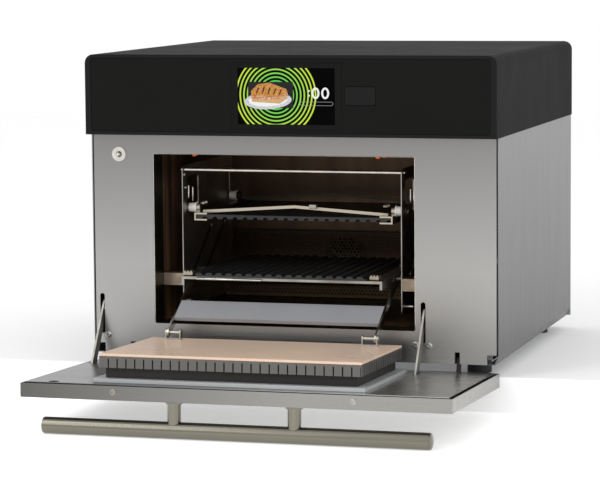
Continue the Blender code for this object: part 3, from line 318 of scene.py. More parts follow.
@dataclass(frozen=True)
class Coat:
    """Powder coat, moulded plastic or rubber with a fine texture."""

    name: str
    colour: Colour
    roughness: float = 0.45
    grit: float = 0.15
    grain: float = 1800.0
    gloss: float = 0.0
    shine: float = 0.5

    def build(self) -> bpy.types.Material:
        """Returns the material."""
        shader = Shader(self.name)
        cloud = shader.noise(9.0, detail=3.0)
        shader.set(
            Base_Color=shader.blend(cloud, shade(self.colour, 0.9), shade(self.colour, 1.1)), Metallic=0.0
        )
        shader.set(Roughness=shader.ramp(cloud, 0.3, 0.7, self.roughness - 0.04, self.roughness + 0.04))
        shader.set(Coat_Weight=self.gloss, Coat_Roughness=0.10, Specular_IOR_Level=self.shine)
        shader.bump(shader.noise(self.grain, detail=2.0), self.grit, 0.0002)
        return shader.material


@dataclass(frozen=True)
class PlainMetal:
    """Polished, drawn or heat-tinted metal with small clouds of tone."""

    name: str
    colour: Colour
    roughness: float = 0.25
    tint: Colour | None = None
    scale: float = 40.0

    def build(self) -> bpy.types.Material:
        """Returns the material."""
        shader = Shader(self.name)
        cloud = shader.noise(self.scale, detail=4.0)
        second = self.tint or shade(self.colour, 0.8)
        shader.set(Base_Color=shader.blend(shader.ramp(cloud, 0.35, 0.7), self.colour, second), Metallic=1.0)
        shader.set(Roughness=shader.ramp(cloud, 0.3, 0.7, self.roughness - 0.04, self.roughness + 0.08))
        shader.bump(shader.noise(self.scale * 12, detail=2.0), 0.05, 0.0002)
        return shader.material


@dataclass(frozen=True)
class CavitySteel:
    """Heat-tinted cavity lining: a dark rim round the mouth, then warm, streaky steel that darkens deeper in, in
    painted shade.
    """

    name: str = "cavity_steel"
    rim: float = FRONT_Y + 0.046
    dark: Colour = (0.030, 0.026, 0.022)
    warm: Colour = (0.62, 0.36, 0.20)
    # Dark streak tone, and also the painted shade deep in the cavity.
    smoke_and_shade: Colour = (0.050, 0.030, 0.018)

    def build(self) -> bpy.types.Material:
        """Returns the material."""
        shader = Shader(self.name)
        depth = shader.along(Axis.Y)
        streaks = shader.noise((60.0, 60.0, 2.2), detail=3.0)
        inner = shader.blend(shader.ramp(streaks, 0.42, 0.62), self.smoke_and_shade, self.warm)
        # Painted shade: deeper into the cavity, the lining darkens to its darkest tone.
        painted_light_fade = shader.ramp(depth, self.rim + 0.02, self.rim + 0.16)
        inner = shader.blend(painted_light_fade, inner, self.smoke_and_shade)
        shader.set(Base_Color=shader.blend(shader.ramp(depth, self.rim, self.rim + 0.002), self.dark, inner))
        shader.set(Metallic=0.85, Roughness=shader.ramp(streaks, 0.3, 0.7, 0.28, 0.42))
        shader.bump(shader.noise(300.0, detail=2.0), 0.04, 0.0002)
        return shader.material


@dataclass(frozen=True)
class ScreenGlass:
    """Black glass with a lit ring pattern, green in the middle and lime outside."""

    name: str = "screen_glass"
    centre: tuple[float, float] = (-0.0176, 0.4818)
    first_ring: float = 0.0216
    pitch: float = 0.00585
    rings: int = 8
    line: float = 0.0023
    inner: Colour = (0.10, 0.62, 0.10)
    outer: Colour = (0.62, 0.80, 0.07)

    def build(self) -> bpy.types.Material:
        """Returns the material."""
        shader = Shader(self.name)
        across = shader.math("SUBTRACT", shader.along(Axis.X), self.centre[0])
        up = shader.math("SUBTRACT", shader.along(Axis.Z), self.centre[1])
        squares = shader.math("ADD", shader.math("MULTIPLY", across, across), shader.math("MULTIPLY", up, up))
        radius = shader.math("SQRT", squares)
        steps = shader.math("DIVIDE", shader.math("SUBTRACT", radius, self.first_ring), self.pitch)
        nearest = shader.math("ABSOLUTE", shader.math("SUBTRACT", steps, shader.math("ROUND", steps)))
        share = self.line / self.pitch / 2
        lit = shader.ramp(nearest, share - 0.04, share + 0.04, 1.0, 0.0)
        inside = shader.math("LESS_THAN", steps, self.rings - 0.5)
        outside = shader.math("GREATER_THAN", steps, -0.5)
        lit = shader.math("MULTIPLY", lit, shader.math("MULTIPLY", inside, outside))
        glow = shader.blend(shader.ramp(steps, 0.0, self.rings - 1.0), self.inner, self.outer)
        smear = shader.noise(45.0, detail=3.0)
        shader.set(
            Base_Color=(0.0008, 0.0008, 0.0008),
            Roughness=shader.ramp(smear, 0.3, 0.7, 0.12, 0.2),
            Specular_IOR_Level=0.02,
        )
        shader.set(Emission_Color=glow, Emission_Strength=lit)
        return shader.material


@dataclass(frozen=True)
class Lit:
    """A shape lit up on the screen, with a little mottling."""

    name: str
    colour: Colour
    second: Colour | None = None
    strength: float = 1.0
    scale: Point = (900.0, 900.0, 900.0)

    def build(self) -> bpy.types.Material:
        """Returns the material."""
        shader = Shader(self.name)
        mottle = shader.ramp(shader.noise(self.scale, detail=3.0), 0.4, 0.6)
        glow = shader.blend(mottle, self.colour, self.second or shade(self.colour, 0.9))
        shader.set(Base_Color=(0.0, 0.0, 0.0), Roughness=0.3, Specular_IOR_Level=0.02)
        shader.set(Emission_Color=glow, Emission_Strength=self.strength)
        return shader.material


FINISHES: tuple[object, ...] = (
    # Painted shade: the steel front darkens towards its top, under the casing.
    BrushedSteel(
        "steel",
        (0.335, 0.33, 0.322),
        0.32,
        painted_light_fade=Axis.Z,
        painted_light_span=(BODY_Z + 0.14, BODY_Z + 0.34),
        painted_light_colour=(0.20, 0.197, 0.192),
    ),
    # Painted reflection: the side panels are darker low down and lighter towards their top.
    BrushedSteel(
        "steel_side",
        (0.135, 0.133, 0.133),
        0.38,
        Axis.Z,
        Axis.Z,
        (BODY_Z + 0.02, BODY_Z + 0.33),
        (0.245, 0.243, 0.243),
        lines=0.004,
    ),
    # Painted reflection: the door's outer skin is dark at its left and lighter towards its right.
    BrushedSteel(
        "steel_edge", (0.115, 0.113, 0.108), 0.28, painted_light_fade=Axis.X, painted_light_span=(-0.32, 0.10), painted_light_colour=(0.275, 0.27, 0.255)
    ),
    # Painted reflection: the door's inner panel is dark at its left and bright towards its right.
    BrushedSteel(
        "steel_door", (0.10, 0.101, 0.103), 0.26, painted_light_fade=Axis.X, painted_light_span=(-0.25, 0.20), painted_light_colour=(0.50, 0.50, 0.48)
    ),
    BrushedSteel("finger_steel", (0.125, 0.122, 0.115), 0.34, Axis.Z),
    BrushedSteel("bright_bar", (0.20, 0.19, 0.155), 0.20, lines=0.02),
    PlainMetal("bright_steel", (0.62, 0.60, 0.55), 0.18, scale=60.0),
    PlainMetal("screw_steel", (0.50, 0.50, 0.48), 0.22, scale=90.0),
    PlainMetal("dull_steel", (0.40, 0.39, 0.36), 0.38, (0.26, 0.24, 0.20), 30.0),
    # Painted shade: the upper frame's rails darken deeper into the cavity.
    BrushedSteel(
        "rail_steel",
        (0.40, 0.36, 0.29),
        0.36,
        painted_light_fade=Axis.Y,
        painted_light_span=(FRONT_Y + 0.075, FRONT_Y + 0.14),
        painted_light_colour=(0.045, 0.038, 0.030),
    ),
    PlainMetal("blower_dark", (0.05, 0.045, 0.04), 0.5, scale=60.0),
    PlainMetal("pale_bracket", (0.40, 0.36, 0.29), 0.40, (0.24, 0.21, 0.16), 50.0),
    PlainMetal("press_plate", (0.34, 0.33, 0.30), 0.33, (0.20, 0.18, 0.15), 14.0),
    PlainMetal("spacer_steel", (0.34, 0.28, 0.22), 0.40, (0.24, 0.19, 0.14), 60.0),
    PlainMetal("galvanised", (0.48, 0.50, 0.51), 0.45, (0.38, 0.40, 0.42), 25.0),
    PlainMetal("aluminium", (0.72, 0.72, 0.71), 0.35, scale=70.0),
    PlainMetal("copper", (0.72, 0.38, 0.22), 0.30, (0.50, 0.24, 0.12), 60.0),
    PlainMetal("heater_tube", (0.34, 0.26, 0.16), 0.35, (0.16, 0.11, 0.07), 90.0),
    # Painted highlight: the perforated sheet is lit brown low down and darkens towards its top in painted shade.
    BrushedSteel(
        "perforated_steel",
        (0.115, 0.085, 0.048),
        0.40,
        painted_light_fade=Axis.Z,
        painted_light_span=(BODY_Z + 0.075, BODY_Z + 0.130),
        painted_light_colour=(0.022, 0.016, 0.010),
    ),
    CavitySteel(),
    ScreenGlass(),
    Coat("casing_black", (0.0125, 0.0128, 0.0135), 0.62, 0.05, 2200.0, shine=0.03),
    Coat("panel_black", (0.0085, 0.0085, 0.0082), 0.60, 0.06, 2600.0, shine=0.03),
    Coat("grill_iron", (0.013, 0.0135, 0.014), 0.42, 0.2, 900.0, 0.12, 0.3),
    Coat("plug_tan", (0.69, 0.51, 0.385), 0.30, 0.03, 500.0, 0.05, 0.25),
    Coat("plug_core", (0.014, 0.012, 0.010), 0.75, 0.5, 500.0),
    Coat("rubber", (0.012, 0.012, 0.012), 0.65, 0.3, 900.0),
    Coat("board_green", (0.012, 0.10, 0.035), 0.40, 0.2, 600.0, 0.3),
    Coat("apron_steel", (0.285, 0.288, 0.305), 0.34, 0.02, 500.0, 0.2),
    Coat("base_steel", (0.40, 0.412, 0.425), 0.34, 0.02, 500.0, 0.2),
    Coat("white_bush", (0.72, 0.70, 0.65), 0.35, 0.1, 400.0),
    Coat("orange_tip", (0.80, 0.13, 0.03), 0.4, 0.1, 700.0),
    Lit("lit_white", (0.92, 0.93, 0.92), strength=1.0),
    Lit("lit_grey", (0.30, 0.30, 0.31), strength=1.0),
    Lit("lit_ground", (0.030, 0.030, 0.034), (0.020, 0.020, 0.022)),
    Lit("lit_plate", (0.72, 0.72, 0.76), (0.50, 0.50, 0.54)),
    Lit("lit_bread", (0.70, 0.36, 0.11), (0.42, 0.17, 0.04), scale=(500.0, 500.0, 700.0)),
    Lit("lit_crumb", (0.76, 0.55, 0.27), (0.50, 0.28, 0.10)),
    Lit("lit_char", (0.16, 0.045, 0.015), (0.09, 0.025, 0.01)),
    Lit("lit_filling", (0.55, 0.09, 0.02), (0.66, 0.60, 0.40), scale=(450.0, 450.0, 800.0)),
)


class Finishes:
    """Every finish of the oven by name."""

    def __init__(self, finishes: Iterable[object]) -> None:
        """Builds each finish once.

        Args:
            finishes: The finishes, each with a name and a build method.
        """
        self.by_name = {finish.name: finish.build() for finish in finishes}

    def __getitem__(self, name: str) -> bpy.types.Material:
        """Returns the material of that name."""
        return self.by_name[name]


LOOK = Finishes(FINISHES)


def dress(look: str, *nodes: str) -> None:
    """Gives CAD nodes one finish.

    Args:
        look: The finish's name.
        nodes: The nodes' names.
    """
    for node in nodes:
        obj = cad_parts[node]
        obj.data.materials.clear()
        obj.data.materials.append(LOOK[look])
        LOG.info("dressed %s in %s", node, look)


# ---------------------------------------------------------------- mesh building


def piece_of(mesh: bpy.types.Mesh, name: str, body: str) -> bpy.types.Object:
    """Shades a mesh, and makes it a piece of the oven.

    Args:
        mesh: The piece's mesh, with its place in its vertices.
        name: The piece's name.
        body: CAD body it rides on.

    Returns:
        The piece.
    """
    for polygon in mesh.polygons:
        polygon.use_smooth = True
    mesh.set_sharp_from_angle(angle=SHARP_ANGLE)
    obj = bpy.data.objects.new(name, mesh)
    bpy.context.scene.collection.objects.link(obj)
    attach(obj, body)
    LOG.info("made %s on %s, %d faces", name, body, len(mesh.polygons))
    return obj


def ring_frame(direction: Vector) -> tuple[Vector, Vector]:
    """Returns two directions square to the given one and to each other."""
    helper = Vector((0, 0, 1)) if abs(direction.z) < 0.9 else Vector((1, 0, 0))
    side = direction.cross(helper).normalized()
    return side, direction.cross(side).normalized()


class Shape:
    """A mesh under construction from rounded boxes, rods, tubes and turned forms."""

    def __init__(self) -> None:
        """Starts an empty mesh."""
        self.bm = bmesh.new()

    def box(self, low: Sequence[float], high: Sequence[float], bevel: float = 0.0) -> "Shape":
        """Adds a box with rounded edges.

        Args:
            low: Lowest corner.
            high: Highest corner.
            bevel: Radius of its edges.

        Returns:
            The shape itself.
        """
        made = bmesh.ops.create_cube(self.bm, size=1.0)["verts"]
        for vert in made:
            vert.co = Vector([lo + (hi - lo) * (c + 0.5) for lo, hi, c in zip(low, high, vert.co)])
        if bevel:
            edges = list({edge for vert in made for edge in vert.link_edges})
            bmesh.ops.bevel(self.bm, geom=edges, offset=bevel, segments=2, profile=0.5, affect="EDGES")
        return self

    def prism(self, outline: Sequence[Vector], along: Vector, bevel: float = 0.0) -> "Shape":
        """Adds a flat outline pushed along a direction.

        Args:
            outline: The outline's points, in order.
            along: Direction and length of the push.
            bevel: Radius of its edges.

        Returns:
            The shape itself.
        """
        near = [self.bm.verts.new(p) for p in outline]
        painted_light_colour = [self.bm.verts.new(Vector(p) + along) for p in outline]
        faces = [self.bm.faces.new(near[::-1]), self.bm.faces.new(painted_light_colour)]
        for i in range(len(near)):
            j = (i + 1) % len(near)
            faces.append(self.bm.faces.new((near[i], near[j], painted_light_colour[j], painted_light_colour[i])))
        if bevel:
            edges = list({edge for face in faces[:2] for edge in face.edges})
            bmesh.ops.bevel(self.bm, geom=edges, offset=bevel, segments=2, profile=0.5, affect="EDGES")
        return self

    def turned(
        self, start: Vector, direction: Vector, profile: Sequence[tuple[float, float]], sides: int = 24
    ) -> "Shape":
        """Adds a turned form, closed at both ends.

        Args:
            start: Point on the axis that the profile starts from.
            direction: The axis.
            profile: Distances along the axis with the radius at each.
            sides: Number of sides round the axis.

        Returns:
            The shape itself.
        """
        direction = Vector(direction).normalized()
        side, up = ring_frame(direction)
        rings = []
        for along, radius in profile:
            ring = []
            for i in range(sides):
                angle = 2 * math.pi * i / sides
                spoke = side * math.cos(angle) + up * math.sin(angle)
                ring.append(self.bm.verts.new(Vector(start) + direction * along + spoke * radius))
            rings.append(ring)
        self.skin(rings)
        return self

    def rod(
        self, start: Vector, end: Vector, radius: float, sides: int = 16, round_end: float = 0.0
    ) -> "Shape":
        """Adds a straight rod with eased ends.

        Args:
            start: Middle of one end.
            end: Middle of the other end.
            radius: The rod's radius.
            sides: Number of sides.
            round_end: Length over which each end is rounded.

        Returns:
            The shape itself.
        """
        start, end = Vector(start), Vector(end)
        length = (end - start).length
        ease = round_end or radius * 0.12
        profile = [(0.0, radius - ease * 0.8), (ease * 0.3, radius - ease * 0.3), (ease, radius)]
        profile += [(length - along, size) for along, size in reversed(profile)]
        return self.turned(start, end - start, profile, sides)

    def tube(self, path: Sequence[Vector], radius: float, sides: int = 8, closed: bool = False) -> "Shape":
        """Adds a round bar along a path.

        Args:
            path: Points along its middle.
            radius: The bar's radius.
            sides: Number of sides.
            closed: Whether the path's end joins its start.

        Returns:
            The shape itself.
        """
        path = [Vector(p) for p in path]
        rings = []
        side = None
        for i, point in enumerate(path):
            before = path[i - 1] if i or closed else point
            after = path[(i + 1) % len(path)] if i + 1 < len(path) or closed else point
            heading = (after - before).normalized()
            if side is None:
                side = ring_frame(heading)[0]
            side = (side - heading * side.dot(heading)).normalized()
            up = heading.cross(side)
            ring = []
            for k in range(sides):
                angle = 2 * math.pi * k / sides
                ring.append(
                    self.bm.verts.new(point + (side * math.cos(angle) + up * math.sin(angle)) * radius)
                )
            rings.append(ring)
        self.skin(rings, closed)
        return self

    def skin(self, rings: Sequence[Sequence[bmesh.types.BMVert]], closed: bool = False) -> None:
        """Joins rings of vertices, and caps the ends unless they meet.

        Args:
            rings: The rings, in order.
            closed: Whether the last ring joins the first.
        """
        count = len(rings[0])
        pairs = list(zip(rings, rings[1:]))
        if closed:
            pairs.append((rings[-1], rings[0]))
        for first, second in pairs:
            for i in range(count):
                j = (i + 1) % count
                self.bm.faces.new((first[i], first[j], second[j], second[i]))
        if not closed:
            self.bm.faces.new(list(reversed(rings[0])))
            self.bm.faces.new(rings[-1])

    def done(
        self, name: str, body: str, slot: str, look: str, matrix: Matrix | None = None
    ) -> bpy.types.Object:
        """Turns the shape into a piece of the oven.

        Args:
            name: The piece's name.
            body: CAD body it rides on.
            slot: Material slot of the record. Not used.
            look: Name of its finish.
            matrix: Placement to apply to its vertices.

        Returns:
            The piece.
        """
        if matrix is not None:
            self.bm.transform(matrix)
        bmesh.ops.recalc_face_normals(self.bm, faces=self.bm.faces[:])
        mesh = bpy.data.meshes.new(name)
        self.bm.to_mesh(mesh)
        self.bm.free()
        mesh.materials.append(LOOK[look])
        return piece_of(mesh, name, body)


@dataclass
class Spot:
    """A place for a repeated item, and the way it faces."""

    place: Vector
    facing: Vector


class Growth(NodeTree):
    """A Geometry Nodes tree that sets one item on every spot, ended by Realize Instances and Set Material."""

    def __init__(self, name: str) -> None:
        """Starts the tree with its geometry input and output.

        Args:
            name: The tree's name.
        """
        self.tree = bpy.data.node_groups.new(name, "GeometryNodeTree")
        self.tree.interface.new_socket("Geometry", in_out="INPUT", socket_type="NodeSocketGeometry")
        self.tree.interface.new_socket("Geometry", in_out="OUTPUT", socket_type="NodeSocketGeometry")
        self.source = self.tree.nodes.new("NodeGroupInput")
        self.sink = self.tree.nodes.new("NodeGroupOutput")
        self.sizes: dict[str, str] = {}

    def size(self, name: str, value: float | int) -> bpy.types.NodeSocket:
        """Adds a named size as an input of the tree.

        Args:
            name: The size's name.
            value: Its value, whose type gives the socket's.

        Returns:
            The input's socket inside the tree.
        """
        kind = "NodeSocketInt" if isinstance(value, int) else "NodeSocketFloat"
        socket = self.tree.interface.new_socket(name, in_out="INPUT", socket_type=kind)
        socket.default_value = value
        self.sizes[name] = socket.identifier
        return self.source.outputs[name]

    def half(self, value: bpy.types.NodeSocket, factor: float = 0.5) -> bpy.types.NodeSocket:
        """Returns a size times a factor, half unless told otherwise."""
        made = self.node("ShaderNodeMath", operation="MULTIPLY")
        self.feed(made, 0, value)
        self.feed(made, 1, factor)
        return made.outputs[0]

    def vector(self, x: object = 0.0, y: object = 0.0, z: object = 0.0) -> bpy.types.NodeSocket:
        """Returns a vector made of three sizes."""
        made = self.node("ShaderNodeCombineXYZ")
        for index, value in enumerate((x, y, z)):
            self.feed(made, index, value)
        return made.outputs[0]

    def moved(
        self, geometry: bpy.types.NodeSocket, offset: bpy.types.NodeSocket, turn: Point = (0.0, 0.0, 0.0)
    ) -> bpy.types.NodeSocket:
        """Returns geometry moved by an offset, after a turn given in radians."""
        made = self.node("GeometryNodeTransform")
        self.feed(made, "Geometry", geometry)
        self.feed(made, "Translation", offset)
        self.feed(made, "Rotation", turn)
        return made.outputs[0]

    def on_spots(self, item: bpy.types.NodeSocket) -> bpy.types.NodeSocket:
        """Returns the item set on every input point, its Z axis along the point's facing attribute."""
        facing = self.node("GeometryNodeInputNamedAttribute", data_type="FLOAT_VECTOR", Name="facing")
        align = self.node("FunctionNodeAlignRotationToVector", axis="Z")
        self.feed(align, "Vector", facing.outputs["Attribute"])
        spread = self.node("GeometryNodeInstanceOnPoints")
        self.feed(spread, "Points", self.source.outputs["Geometry"])
        self.feed(spread, "Instance", item)
        self.feed(spread, "Rotation", align.outputs["Rotation"])
        return spread.outputs[0]

    def grow(
        self,
        result: bpy.types.NodeSocket,
        look: str,
        name: str,
        spots: Sequence[Spot],
        body: str,
        slot: str,
        matrix: Matrix | None = None,
        **values: float,
    ) -> bpy.types.Object:
        """Ends the tree, runs it over the spots and keeps the result as one plain mesh.

        Args:
            result: The socket that holds the grown geometry.
            look: Name of its finish.
            name: The piece's name.
            spots: Where the items go.
            body: CAD body the piece rides on.
            slot: Material slot of the record. Not used.
            matrix: Placement to apply to the finished vertices.
            values: Sizes to set, by input name with underscores for spaces.

        Returns:
            The piece.
        """
        real = self.node("GeometryNodeRealizeInstances")
        self.feed(real, 0, result)
        paint = self.node("GeometryNodeSetMaterial", Material=LOOK[look])
        self.feed(paint, "Geometry", real.outputs[0])
        self.tree.links.new(paint.outputs[0], self.sink.inputs[0])
        seeds = bpy.data.meshes.new(name + "_spots")
        seeds.from_pydata([spot.place for spot in spots], [], [])
        facing = seeds.attributes.new("facing", "FLOAT_VECTOR", "POINT")
        for i, spot in enumerate(spots):
            facing.data[i].vector = spot.facing
        carrier = bpy.data.objects.new(name + "_carrier", seeds)
        bpy.context.scene.collection.objects.link(carrier)
        modifier = carrier.modifiers.new("growth", "NODES")
        modifier.node_group = self.tree
        for key, value in values.items():
            modifier[self.sizes[key.replace("_", " ")]] = value
        graph = bpy.context.evaluated_depsgraph_get()
        mesh = bpy.data.meshes.new_from_object(carrier.evaluated_get(graph))
        carrier.modifiers.clear()
        bpy.data.objects.remove(carrier)
        mesh.name = name
        if matrix is not None:
            mesh.transform(matrix)
        for attribute in [a.name for a in mesh.attributes if a.name == "facing"]:
            mesh.attributes.remove(mesh.attributes[attribute])
        return piece_of(mesh, name, body)


class Drive(Enum):
    """The recess in a screw's head, by its number of sides."""

    HEX = 6
    SQUARE = 4
    PLAIN = 0


@dataclass
class ScrewHeads:
    """Low domed heads with a recess, one on every spot."""

    radius: float = 0.0043
    height: float = 0.0022
    drive: Drive = Drive.HEX

    def build(
        self,
        name: str,
        spots: Sequence[Spot],
        body: str,
        slot: str = "bright_steel",
        look: str = "screw_steel",
    ) -> bpy.types.Object:
        """Makes the heads.

        Args:
            name: The piece's name.
            spots: Where the heads sit, facing out.
            body: CAD body they ride on.
            slot: Material slot of the record.
            look: Name of their finish.

        Returns:
            The piece.
        """
        growth = Growth("screw_heads")
        radius, height = growth.size("Radius", self.radius), growth.size("Height", self.height)
        rim = growth.node("GeometryNodeMeshCylinder", Vertices=20)
        growth.feed(rim, "Radius", radius)
        growth.feed(rim, "Depth", growth.half(height))
        low = growth.moved(rim.outputs["Mesh"], growth.vector(z=growth.half(height, 0.25)))
        crown = growth.node("GeometryNodeMeshCone", Vertices=20)
        growth.feed(crown, "Radius Bottom", radius)
        growth.feed(crown, "Radius Top", growth.half(radius, 0.72))
        growth.feed(crown, "Depth", growth.half(height))
        high = growth.moved(crown.outputs["Mesh"], growth.vector(z=growth.half(height)))
        joined = growth.node("GeometryNodeMeshBoolean", operation="UNION")
        growth.feed(joined, "Mesh 2", low)
        growth.tree.links.new(high, joined.inputs["Mesh 2"])
        head = joined.outputs["Mesh"]
        if self.drive is not Drive.PLAIN:
            tool = growth.node("GeometryNodeMeshCylinder", Vertices=self.drive.value)
            growth.feed(tool, "Radius", growth.half(radius, 0.5))
            growth.feed(tool, "Depth", height)
            pocket = growth.node("GeometryNodeMeshBoolean", operation="DIFFERENCE")
            growth.feed(pocket, "Mesh 1", head)
            growth.feed(
                pocket,
                "Mesh 2",
                growth.moved(tool.outputs["Mesh"], growth.vector(z=growth.half(height, 0.95))),
            )
            head = pocket.outputs["Mesh"]
        return growth.grow(
            growth.on_spots(head), look, name, spots, body, slot, Radius=self.radius, Height=self.height
        )


@dataclass
class Slabs:
    """Small plain plates of one size, such as fins, fingers and chips, one on every spot."""

    width: float
    thickness: float
    height: float

    def build(
        self, name: str, spots: Sequence[Spot], body: str, slot: str, look: str, matrix: Matrix | None = None
    ) -> bpy.types.Object:
        """Makes the plates, each with its height along the spot's facing.

        Args:
            name: The piece's name.
            spots: Where the plates' middles go.
            body: CAD body they ride on.
            slot: Material slot of the record.
            look: Name of their finish.
            matrix: Placement to apply at the end.

        Returns:
            The piece.
        """
        growth = Growth("slabs")
        sizes = [
            growth.size(label, value)
            for label, value in (("Width", self.width), ("Thickness", self.thickness), ("Height", self.height))
        ]
        cube = growth.node("GeometryNodeMeshCube")
        growth.feed(cube, "Size", growth.vector(*sizes))
        result = growth.on_spots(cube.outputs["Mesh"])
        return growth.grow(
            result,
            look,
            name,
            spots,
            body,
            slot,
            matrix,
            Width=self.width,
            Thickness=self.thickness,
            Height=self.height,
        )


@dataclass
class PerforatedSheet:
    """A thin sheet with staggered round holes, standing in the X and Z plane."""

    width: float
    height: float
    pitch: float = 0.0062
    hole: float = 0.0022
    thickness: float = 0.0010

    def build(self, name: str, centre: Vector, body: str, slot: str, look: str) -> bpy.types.Object:
        """Makes the sheet.

        Args:
            name: The piece's name.
            centre: Middle of the sheet's front.
            body: CAD body it rides on.
            slot: Material slot of the record.
            look: Name of its finish.

        Returns:
            The piece.
        """
        growth = Growth("perforated_sheet")
        hole, thick = growth.size("Hole", self.hole), growth.size("Thickness", self.thickness)
        width, height = growth.size("Width", self.width), growth.size("Height", self.height)
        ring = growth.node("GeometryNodeCurvePrimitiveCircle", mode="RADIUS", Resolution=10)
        growth.feed(ring, "Radius", hole)
        spread = growth.node("GeometryNodeInstanceOnPoints")
        growth.feed(spread, "Points", growth.source.outputs["Geometry"])
        growth.feed(spread, "Instance", ring.outputs["Curve"])
        edge = growth.node("GeometryNodeCurvePrimitiveQuadrilateral")
        growth.feed(edge, "Width", width)
        growth.feed(edge, "Height", height)
        curves = growth.node("GeometryNodeJoinGeometry")
        growth.feed(curves, "Geometry", spread.outputs[0])
        growth.tree.links.new(edge.outputs["Curve"], curves.inputs["Geometry"])
        real = growth.node("GeometryNodeRealizeInstances")
        growth.feed(real, 0, curves.outputs[0])
        flat = growth.node("GeometryNodeFillCurve")
        growth.feed(flat, "Curve", real.outputs[0])
        raised = growth.node("GeometryNodeExtrudeMesh", Individual=False)
        growth.feed(raised, "Mesh", flat.outputs[0])
        growth.feed(raised, "Offset Scale", thick)
        under = growth.node("GeometryNodeFlipFaces")
        growth.feed(under, 0, flat.outputs[0])
        both = growth.node("GeometryNodeJoinGeometry")
        growth.feed(both, "Geometry", raised.outputs["Mesh"])
        growth.tree.links.new(under.outputs[0], both.inputs["Geometry"])
        weld = growth.node("GeometryNodeMergeByDistance", Distance=0.00001)
        growth.feed(weld, "Geometry", both.outputs[0])
        turn = Matrix.Translation(centre) @ Matrix.Rotation(math.pi / 2, 4, "X")
        return growth.grow(
            weld.outputs[0],
            look,
            name,
            self.spots(),
            body,
            slot,
            turn,
            Hole=self.hole,
            Thickness=self.thickness,
            Width=self.width,
            Height=self.height,
        )

    def spots(self) -> list[Spot]:
        """Returns the holes' places about the sheet's middle."""
        row_pitch = self.pitch * math.sqrt(3) / 2
        rows = int((self.height - self.pitch * 1.4) / row_pitch)
        columns = int((self.width - self.pitch * 1.6) / self.pitch)
        found = []
        for row in range(rows + 1):
            shift = 0.25 if row % 2 else -0.25
            for column in range(columns + 1):
                x = (column - columns / 2 + shift) * self.pitch
                found.append(Spot(Vector((x, (row - rows / 2) * row_pitch, 0)), Vector((0, 0, 1))))
        return found


# ---------------------------------------------------------------- sub-assemblies


@dataclass
class Studio:
    """Step, floor, lights and camera."""

    step_top: float = LOW.z + 0.0548
    step_front: float = FRONT_Y + 0.022
    lens: float = 165.18
    place: Point = (1.181, -4.15733, 0.70984)
    yaw: float = math.radians(16.19)
    pitch: float = math.radians(6.15)
    roll: float = math.radians(-0.47)

    def build(self) -> None:
        """Makes the whole set."""
        self.ground()
        self.lights()
        self.camera()

    def ground(self) -> None:
        """Makes the pale step under the feet and the pale floor below the handle."""
        # Both glow white, painted light that lifts their shade: the floor glows more, which pales the shade
        # under the door.
        for name, glow, low, high in (
            ("step", 0.12, (-6.0, self.step_front, LOW.z - 0.0002), (6.0, 6.0, self.step_top)),
            ("floor", 0.45, (-6.0, -6.0, LOW.z - 0.05), (6.0, 6.0, LOW.z - 0.0003)),
        ):
            paint = Shader(f"{name}_white")
            paint.set(Base_Color=(0.86, 0.86, 0.86), Roughness=0.8, Specular_IOR_Level=0.1)
            paint.set(Emission_Color=(1.0, 1.0, 1.0), Emission_Strength=glow)
            bm = bmesh.new()
            for vert in bmesh.ops.create_cube(bm, size=1.0)["verts"]:
                vert.co = Vector([lo + (hi - lo) * (c + 0.5) for lo, hi, c in zip(low, high, vert.co)])
            mesh = bpy.data.meshes.new(name)
            bm.to_mesh(mesh)
            bm.free()
            mesh.materials.append(paint.material)
            obj = bpy.data.objects.new(name, mesh)
            bpy.context.scene.collection.objects.link(obj)

    def lights(self) -> None:
        """Makes a bright white surround with three soft lamps."""
        scene = bpy.context.scene
        world = bpy.data.worlds.new("world")
        world.use_nodes = True
        ground = world.node_tree.nodes["Background"]
        ground.inputs[0].default_value = (1.0, 1.0, 1.0, 1.0)
        ground.inputs[1].default_value = 1.0
        scene.world = world
        for name, place, size, power in (
            ("key", (-1.9, -3.2, 2.9), 1.6, 34.0),
            ("fill", (2.8, -2.4, 1.6), 1.8, 10.0),
            ("front", (0.4, -4.4, 0.25), 1.2, 8.0),
        ):
            data = bpy.data.lights.new(name, "AREA")
            data.size, data.energy = size, power
            lamp = bpy.data.objects.new(name, data)
            lamp.location = place
            lamp.rotation_euler = (Vector((0, 0, 0.3)) - Vector(place)).to_track_quat("-Z", "Y").to_euler()
            scene.collection.objects.link(lamp)
        scene.view_settings.view_transform = "Standard"

    def camera(self) -> None:
        """Makes the camera."""
        data = bpy.data.cameras.new("camera")
        camera = bpy.data.objects.new("camera", data)
        bpy.context.scene.collection.objects.link(camera)
        data.lens, data.sensor_width, data.sensor_fit, data.clip_end = self.lens, 36.0, "HORIZONTAL", 50.0
        level = math.cos(self.pitch)
        forward = Vector((-math.sin(self.yaw) * level, math.cos(self.yaw) * level, -math.sin(self.pitch)))
        right = Vector((math.cos(self.yaw), math.sin(self.yaw), 0))
        up = right.cross(forward)
        lean, tilt = math.cos(self.roll), math.sin(self.roll)
        right, up = right * lean + up * tilt, up * lean - right * tilt
        turn = Matrix((right, up, -forward)).transposed().to_4x4()
        camera.matrix_world = Matrix.Translation(self.place) @ turn
        bpy.context.scene.camera = camera


